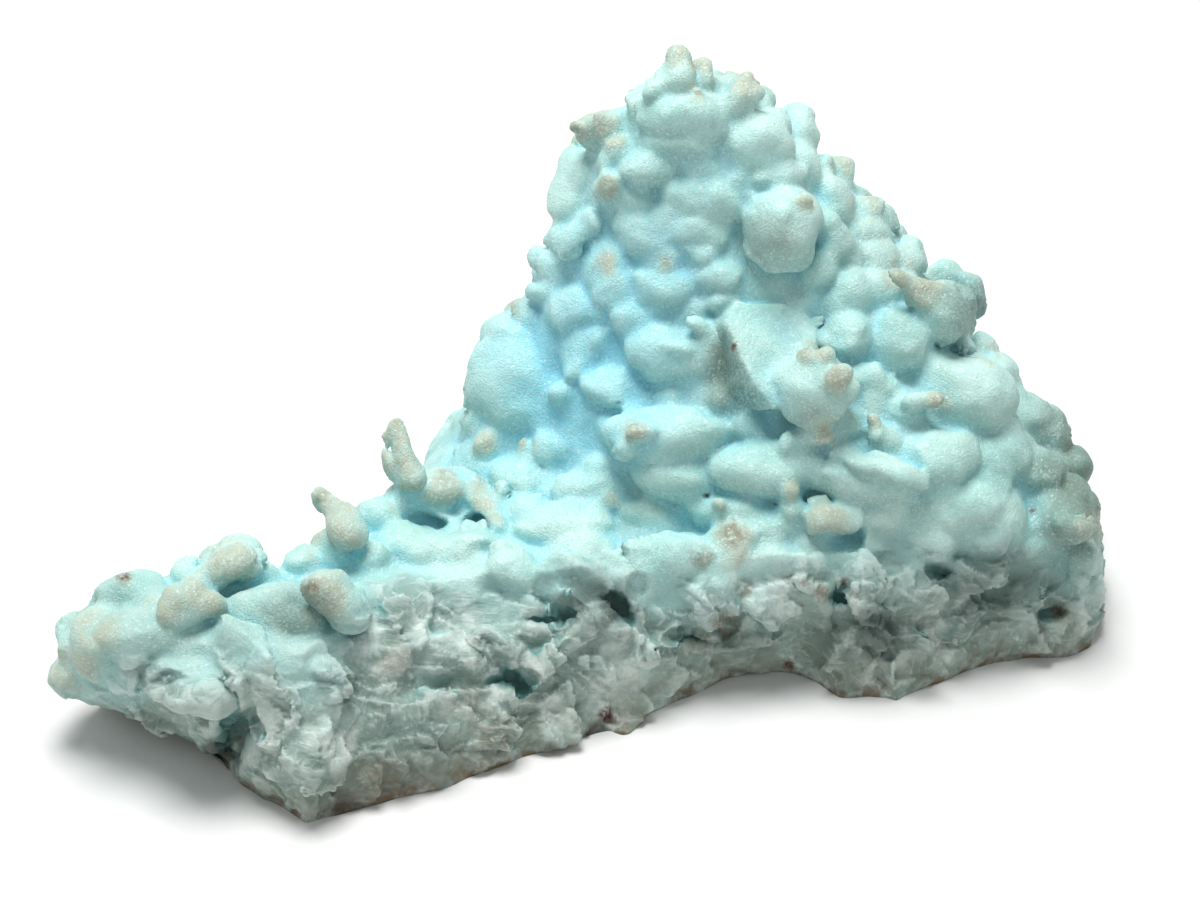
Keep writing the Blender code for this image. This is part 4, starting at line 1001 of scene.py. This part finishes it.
def make_cluster():
    """The whole specimen as one fine skin."""
    mass = mesh_of(add_mass)
    tree = tree_of(mass)
    ball = mesh_of(unit_ball, BALL_SUBDIVISIONS)
    lobed = mesh_of(add_lobed_mass, mass, tree, ball)
    front = mesh_of(add_front, lobed, tree_of(lobed), ball)
    cluster = new_object("cluster_skin", mesh_of(add_surroundings, front, mass, tree, ball))
    modify(cluster, "REMESH", mode="VOXEL", voxel_size=SKIN_GRID * MM)
    fill_creases(cluster.data, CREASE_ROUNDS)
    modify(cluster, "SMOOTH", iterations=SOFTEN_ROUNDS)
    sink_hollows(cluster.data)
    wander(cluster.data)
    cut_flat(cluster.data)
    roughen(cluster.data)
    modify(cluster, "DECIMATE", ratio=TRIANGLES / len(cluster.data.polygons))
    paint(cluster.data)
    cluster.data.transform(Matrix.Translation(-MIDDLE * MM))
    cluster.data.shade_smooth()
    return cluster


class Nodes:
    """Short ways to place and join shader nodes."""

    def __init__(self, tree):
        self.tree = tree

    def new(self, kind, **settings):
        node = self.tree.nodes.new(kind)
        for name, value in settings.items():
            setattr(node, name, value)
        return node

    def link(self, source, target):
        self.tree.links.new(source, target)

    def value(self, socket, content):
        if isinstance(content, bpy.types.NodeSocket):
            self.link(content, socket)
        else:
            socket.default_value = content

    def attribute(self, name):
        return self.new("ShaderNodeAttribute", attribute_name=name).outputs["Fac"]

    def math(self, operation, first, second, clamp=False):
        node = self.new("ShaderNodeMath", operation=operation, use_clamp=clamp)
        self.value(node.inputs[0], first)
        self.value(node.inputs[1], second)
        return node.outputs[0]

    def times(self, first, second):
        return self.math("MULTIPLY", first, second)

    def range(self, value, low, high, start=0.0, end=1.0):
        node = self.new("ShaderNodeMapRange", interpolation_type="SMOOTHSTEP")
        self.value(node.inputs["Value"], value)
        for name, content in (("From Min", low), ("From Max", high), ("To Min", start), ("To Max", end)):
            node.inputs[name].default_value = content
        return node.outputs["Result"]

    def mix(self, share, first, second):
        node = self.new("ShaderNodeMix", data_type="RGBA")
        self.value(node.inputs["Factor"], share)
        self.value(node.inputs["A"], first)
        self.value(node.inputs["B"], second)
        return node.outputs["Result"]

    def noise(self, where, size_mm, detail, roughness=0.55):
        node = self.new("ShaderNodeTexNoise")
        self.link(where, node.inputs["Vector"])
        node.inputs["Scale"].default_value = 1.0 / (size_mm * MM)
        node.inputs["Detail"].default_value = detail
        node.inputs["Roughness"].default_value = roughness
        return node.outputs["Fac"]

    def patches(self, where, size_mm, detail, low, high, start=0.0, end=1.0):
        """Soft patches about size_mm across, between two values of their noise."""
        return self.range(self.noise(where, size_mm, detail), low, high, start, end)

    def grains(self, where, size_mm):
        node = self.new("ShaderNodeTexVoronoi", feature="F1")
        self.link(where, node.inputs["Vector"])
        node.inputs["Scale"].default_value = 1.0 / (size_mm * MM)
        return node

    def bump(self, height, distance_mm, strength):
        node = self.new("ShaderNodeBump")
        node.inputs["Distance"].default_value = distance_mm * MM
        node.inputs["Strength"].default_value = strength
        self.link(height, node.inputs["Height"])
        return node.outputs["Normal"]


# The curve that turns colours on screen into light.
SCREEN_FULL = 255.0
SCREEN_OFFSET = 0.055
SCREEN_POWER = 2.4


def rgb(*parts):
    """A colour given as red, green and blue from 0 to 255 on screen, as the shader needs it."""
    light = [((part / SCREEN_FULL + SCREEN_OFFSET) / (1.0 + SCREEN_OFFSET)) ** SCREEN_POWER for part in parts]
    return (*light, 1.0)


CRUST_PALE = rgb(198, 232, 224)
CRUST_AQUA = rgb(170, 217, 210)
CRUST_GREY = rgb(128, 150, 137)
SKY_BLUE = rgb(158, 227, 238)
CREASE_SHADE_BLUE = rgb(136, 212, 233)
DUST_AND_SHADE_GREY = rgb(124, 142, 134)
CREAM = rgb(186, 195, 176)
TAN = rgb(150, 146, 124)
BROKEN_DARK = rgb(132, 154, 146)
BROKEN_MIDDLE = rgb(176, 198, 190)
BROKEN_PALE = rgb(230, 238, 232)
BROKEN_AQUA = rgb(160, 206, 202)
BROKEN_SHADE = rgb(66, 82, 74)
CRUST_SHADE = rgb(92, 120, 114)
RECESS_SHADE_TEAL = rgb(104, 168, 166)
OLIVE = rgb(122, 122, 98)
BROWN = rgb(112, 86, 56)
RED_BROWN = rgb(96, 38, 26)
BLACK = rgb(28, 24, 22)
PAINTED_GLINT_WHITE = rgb(240, 250, 248)

# Patches of the finish: size in mm and detail of their noise, the noise values where they begin and are
# full, and what they give at those two where that isn't 0 and 1.
CRUST_PATCHES = (14.0, 4.0, 0.35, 0.65)
GREY_MOTTLE = (5.0, 4.0, 0.3, 0.7, 0.55, 1.0)
SPECKLES = (0.5, 3.0, 0.35, 0.6, 0.3, 1.0)
CREAM_MOTTLE = (1.6, 3.0, 0.25, 0.6, 0.5, 1.0)
LOW_BAND = (4.0, 4.0, 0.35, 0.6)
FOOT_BAND = (3.0, 4.0, 0.4, 0.6)
BLOTCHES = (1.2, 4.0, 0.3, 0.6)
FINE_DUST = (0.45, 2.0, 0.3, 0.5, 0.16, 0.0)
# Other noise: size in mm and detail, then roughness.
STONE_CLOUD = (11.0, 5.0)
FLAKES = (9.0, 4.0, 0.6)
FIBRES = (0.7, 3.0, 0.6)
LUMPS = (1.3, 2.0)
FINE_GRAIN = (0.3, 2.0)
# The crust by how open and how raised a place is: where the painted shade of hollows and dips, the painted
# light of tops, and knobs begin and are full, and how much tan a knob's speckles show.
HOLLOW_SHADE = (0.85, 0.35)
DIP_SHADE = (0.62, 0.25)
TOP_LIGHT = (0.55, 0.85)
KNOB = (0.4, 0.75)
TAN_SPECKLES = (0.3, 1.0, 0.2, 0.5)
# The same for the broken stone: its clouds, flakes and fibres, the painted light on its crests, the painted
# shade in its recesses, how the painted shade zones spare the flakes, and the heights above the cut where it
# turns olive and then brown, in m.
CLOUD_EDGE = (0.32, 0.62)
FLAKE_EDGE = (0.5, 0.66)
FIBRE_EDGE = (0.5, 0.75)
CREST_LIGHT = (0.6, 0.95)
RECESS_SHADE = (0.7, 0.25)
FLAKES_IN_DARK = (0.0, 1.0, 0.75, 0.35)
LOW_HEIGHT = (0.012, 0.0)
EDGE_HEIGHT = (0.0028, 0.0004)
# How strongly each part of the finish shows.
HOLLOW_SHADE_SHOWN = 0.45
BLUE_SHOWN = 0.85
CREASE_SHADE_SHOWN = 0.6
CREASE_SHADE_LEAST = 0.15
TOP_LIGHT_SHOWN = 0.35
UNDERSIDE_SHADE_SHOWN = 0.5
CREAM_SHOWN = 0.95
CREAM_UNDERSIDE_SHADE = 0.7
CLOUD_SHOWN = 0.8
TINT_SHOWN = 0.12
FLAKES_SHOWN = 0.55
AQUA_SHOWN = 0.6
FIBRES_SHOWN = 0.3
CREST_LIGHT_SHOWN = 0.3
RECESS_SHADE_SHOWN = 0.65
LOW_SHOWN = 0.6
EDGE_SHOWN = 0.8
PAINTED_GLINT_SHOWN = 0.35
# Fibres: the size in mm of a bundle, a full turn, and how little their noise changes along them.
FIBRE_BUNDLE = 7.0
FULL_TURN = 6.28
FIBRE_SCALE = (1.0, 1.0, 0.12)
# Sugar grains: size in mm, which of them sparkle with a painted white glint, where the crust and the painted
# shade zones end that, and the roughness without and with a spark.
SUGAR = 0.34
SPARKLING = (0.77, 0.81)
SPARKS_ON_CRUST = (0.0, 0.6, 1.0, 0.0)
SPARKS_IN_DARK = (0.1, 0.5, 1.0, 0.15)
SPARK_ROUGHNESS = (0.0, 1.0, 0.6, 0.25)
# Fine relief: the shares of lumps, sugar grains and fibres, its depth in mm and its strength.
LUMPS_RAISED = 1.4
SUGAR_RAISED = -0.6
FIBRES_RAISED = 1.6
FINE_DEPTH = 0.28
FINE_STRENGTH = 0.6
# Light that seeps into the stone.
STONE_INPUTS = {
    "Subsurface Weight": 0.3,
    "Subsurface Radius": (0.7, 1.0, 1.1),
    "Subsurface Scale": 0.0016,
    "Specular IOR Level": 0.45,
}


def crust_colour(n, where):
    """Pale aqua with painted light on its tops, sky blue in its zones, painted blue shade in its hollows and
    dips, painted grey shade below and in the shade zones, and cream knobs.
    """
    swell = n.attribute("swell")
    base = n.mix(n.patches(where, *CRUST_PATCHES), CRUST_AQUA, CRUST_PALE)
    # Painted shade: hollows that see little of the sky turn sky blue, together with the blue zones.
    hollow_shade = n.range(n.attribute("open"), *HOLLOW_SHADE)
    blue = n.math("MAXIMUM", n.attribute("blue"), n.times(hollow_shade, HOLLOW_SHADE_SHOWN))
    base = n.mix(n.times(blue, BLUE_SHOWN), base, SKY_BLUE)
    # Painted shade: a deeper blue in the dips between lobes, strongest in the blue zones and hollows.
    depth = n.math("ADD", n.times(blue, CREASE_SHADE_SHOWN), CREASE_SHADE_LEAST)
    base = n.mix(n.math("MULTIPLY", n.range(swell, *DIP_SHADE), depth, clamp=True), base, CREASE_SHADE_BLUE)
    # Painted light: the crests of the lobes turn paler.
    base = n.mix(n.times(n.range(swell, *TOP_LIGHT), TOP_LIGHT_SHOWN), base, CRUST_PALE)
    # Grey zones: partly grey stone and partly painted shade on shaded sides.
    base = n.mix(n.times(n.attribute("grey_and_shade"), n.patches(where, *GREY_MOTTLE)), base, CRUST_GREY)
    speckle = n.patches(where, *SPECKLES)
    # Painted shade: speckled grey on the faces that look down.
    underside_shade = n.times(n.attribute("underside_shade"), speckle)
    base = n.mix(n.times(underside_shade, UNDERSIDE_SHADE_SHOWN), base, DUST_AND_SHADE_GREY)
    raised = n.times(n.range(swell, *KNOB), n.patches(where, *CREAM_MOTTLE))
    cream = n.times(n.attribute("cream"), raised)
    base = n.mix(n.times(cream, CREAM_SHOWN), base, CREAM)
    # Painted shade on the undersides of the cream knobs.
    base = n.mix(n.times(cream, n.times(underside_shade, CREAM_UNDERSIDE_SHADE)), base, DUST_AND_SHADE_GREY)
    tan = n.times(n.attribute("tan"), n.times(raised, n.range(speckle, *TAN_SPECKLES)))
    base = n.mix(tan, base, TAN)
    # Painted shade, speckled, in the shade zones and on the block's left face.
    return n.mix(n.times(n.attribute("painted_shade"), speckle), base, CRUST_SHADE)


def fibres(n, where):
    """Fine fibres that run another way in every few millimetres of the broken stone."""
    angles = n.new("ShaderNodeVectorMath", operation="SCALE")
    n.link(n.grains(where, FIBRE_BUNDLE).outputs["Color"], angles.inputs[0])
    angles.inputs["Scale"].default_value = FULL_TURN
    turned = n.new("ShaderNodeVectorRotate", rotation_type="EULER_XYZ")
    n.link(where, turned.inputs["Vector"])
    n.link(angles.outputs[0], turned.inputs["Rotation"])
    stretched = n.new("ShaderNodeMapping")
    n.link(turned.outputs[0], stretched.inputs["Vector"])
    stretched.inputs["Scale"].default_value = FIBRE_SCALE
    return n.noise(stretched.outputs["Vector"], *FIBRES)


def broken_colour(n, where, fibre):
    """Grey-teal stone, aqua under the crust, whitish on its flakes, painted light on its crests, painted teal
    shade in its recesses and painted shade in its shade zones.
    """
    place = n.new("ShaderNodeSeparateXYZ")
    n.link(where, place.inputs[0])
    height = place.outputs["Z"]
    tint = n.times(n.attribute("tint"), TINT_SHOWN)
    cloud = n.math("ADD", n.times(n.noise(where, *STONE_CLOUD), CLOUD_SHOWN), tint)
    base = n.mix(n.range(cloud, *CLOUD_EDGE), BROKEN_DARK, BROKEN_MIDDLE)
    flakes = n.range(n.noise(where, *FLAKES), *FLAKE_EDGE)
    # Darker towards the bottom: olive patches over the lowest 12 mm and brown patches along the lowest 3 mm.
    low = n.times(n.range(height, *LOW_HEIGHT), n.patches(where, *LOW_BAND))
    edge = n.times(n.range(height, *EDGE_HEIGHT), n.patches(where, *FOOT_BAND))
    layers = (
        (flakes, FLAKES_SHOWN, BROKEN_PALE),
        (n.attribute("near_rim"), AQUA_SHOWN, BROKEN_AQUA),
        (n.range(fibre, *FIBRE_EDGE), FIBRES_SHOWN, BROKEN_PALE),
        # Painted light: paler crests of the fine relief.
        (n.range(n.attribute("relief"), *CREST_LIGHT), CREST_LIGHT_SHOWN, BROKEN_PALE),
        # Painted shade: teal in recesses that see little of the sky.
        (n.range(n.attribute("open"), *RECESS_SHADE), RECESS_SHADE_SHOWN, RECESS_SHADE_TEAL),
        # Painted shade in the shade zones, weaker on the flakes.
        (n.attribute("painted_shade"), n.range(flakes, *FLAKES_IN_DARK), BROKEN_SHADE),
        (low, LOW_SHOWN, OLIVE),
        (edge, EDGE_SHOWN, BROWN),
    )
    for share, shown, colour in layers:
        base = n.mix(n.times(share, shown), base, colour)
    return base


def new_material(name):
    """A new material, and its shader."""
    material = bpy.data.materials.new(name)
    material.use_nodes = True
    return material, material.node_tree.nodes["Principled BSDF"]


def aragonite():
    """The finish of the whole specimen: sugary crust above and broken stone on the sides."""
    material, shader = new_material("sugary_blue_aragonite")
    n = Nodes(material.node_tree)
    where = n.new("ShaderNodeTexCoord").outputs["Object"]
    broken = n.attribute("broken")
    fibre = fibres(n, where)
    colour = n.mix(broken, crust_colour(n, where), broken_colour(n, where, fibre))
    blotch = n.patches(where, *BLOTCHES)
    colour = n.mix(n.times(n.attribute("stain"), blotch), colour, BROWN)
    colour = n.mix(n.times(n.attribute("red"), blotch), colour, RED_BROWN)
    colour = n.mix(n.attribute("black"), colour, BLACK)
    sugar = n.grains(where, SUGAR)
    bright = n.times(n.range(broken, *SPARKS_ON_CRUST), n.range(n.attribute("painted_shade"), *SPARKS_IN_DARK))
    spark = n.times(n.range(sugar.outputs["Color"], *SPARKLING), bright)
    # Fine dust all over, in the same grey as the painted underside shade.
    colour = n.mix(n.patches(where, *FINE_DUST), colour, DUST_AND_SHADE_GREY)
    # Painted highlight: white glints on the sparkling grains, which are also made glossier.
    colour = n.mix(n.times(spark, PAINTED_GLINT_SHOWN), colour, PAINTED_GLINT_WHITE)
    lumps = n.times(n.noise(where, *LUMPS), LUMPS_RAISED)
    fine = n.math("ADD", n.times(sugar.outputs["Distance"], SUGAR_RAISED), n.noise(where, *FINE_GRAIN))
    split = n.new("ShaderNodeMix", data_type="FLOAT")
    n.link(broken, split.inputs["Factor"])
    n.link(n.math("ADD", fine, lumps), split.inputs["A"])
    n.link(n.times(fibre, FIBRES_RAISED), split.inputs["B"])
    n.link(colour, shader.inputs["Base Color"])
    n.link(n.bump(split.outputs["Result"], FINE_DEPTH, FINE_STRENGTH), shader.inputs["Normal"])
    n.link(n.range(spark, *SPARK_ROUGHNESS), shader.inputs["Roughness"])
    for name, content in STONE_INPUTS.items():
        shader.inputs[name].default_value = content
    return material


# The floor's half width in m, its colour and its roughness.
FLOOR_SIZE = 6.0
FLOOR_COLOUR = (0.8, 0.8, 0.79, 1.0)
FLOOR_ROUGHNESS = 0.8
# The overhead light: place, aim and width in m, and power. Then the pale room's colour and strength.
LIGHT_PLACE = Vector((-0.08, 0.1, 1.0))
LIGHT_AIM = Vector((0.0, 0.0, 0.03))
LIGHT_WIDTH = 0.5
LIGHT_POWER = 11.0
ROOM_COLOUR = (0.97, 0.99, 1.0, 1.0)
ROOM_STRENGTH = 0.4
# The camera's sensor and lens in mm.
SENSOR_WIDTH = 36.0
LENS = 90.0


def floor_grid(bm):
    bmesh.ops.create_grid(bm, x_segments=1, y_segments=1, size=FLOOR_SIZE)


def add_floor():
    floor = new_object("floor", mesh_of(floor_grid))
    material, shader = new_material("pale_floor")
    shader.inputs["Base Color"].default_value = FLOOR_COLOUR
    shader.inputs["Roughness"].default_value = FLOOR_ROUGHNESS
    floor.data.materials.append(material)


def add_studio():
    """Soft light from straight above, with a pale room all round."""
    data = bpy.data.lights.new("overhead", "AREA")
    data.shape = "SQUARE"
    data.size = LIGHT_WIDTH
    data.energy = LIGHT_POWER
    light = new_object("overhead", data)
    light.location = LIGHT_PLACE
    light.rotation_euler = (LIGHT_AIM - LIGHT_PLACE).to_track_quat("-Z", "Y").to_euler()
    world = bpy.data.worlds.new("pale_room")
    world.use_nodes = True
    sky = world.node_tree.nodes["Background"]
    sky.inputs["Color"].default_value = ROOM_COLOUR
    sky.inputs["Strength"].default_value = ROOM_STRENGTH
    bpy.context.scene.world = world
    bpy.context.scene.view_settings.view_transform = "Standard"


def add_camera():
    """A long lens half a metre away, looking down on the piece along the line of sight."""
    data = bpy.data.cameras.new("view")
    data.sensor_width = SENSOR_WIDTH
    data.lens = LENS
    camera = new_object("view", data)
    right, lift, inward = sight_axes()
    turn = Matrix((right, lift, -inward)).transposed().to_4x4()
    camera.matrix_world = Matrix.Translation((sight_eye() - MIDDLE) * MM) @ turn
    bpy.context.scene.camera = camera


cluster = make_cluster()
cluster.data.materials.clear()
cluster.data.materials.append(aragonite())
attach(cluster, "root")
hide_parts(NODE)
add_floor()
add_studio()
add_camera()
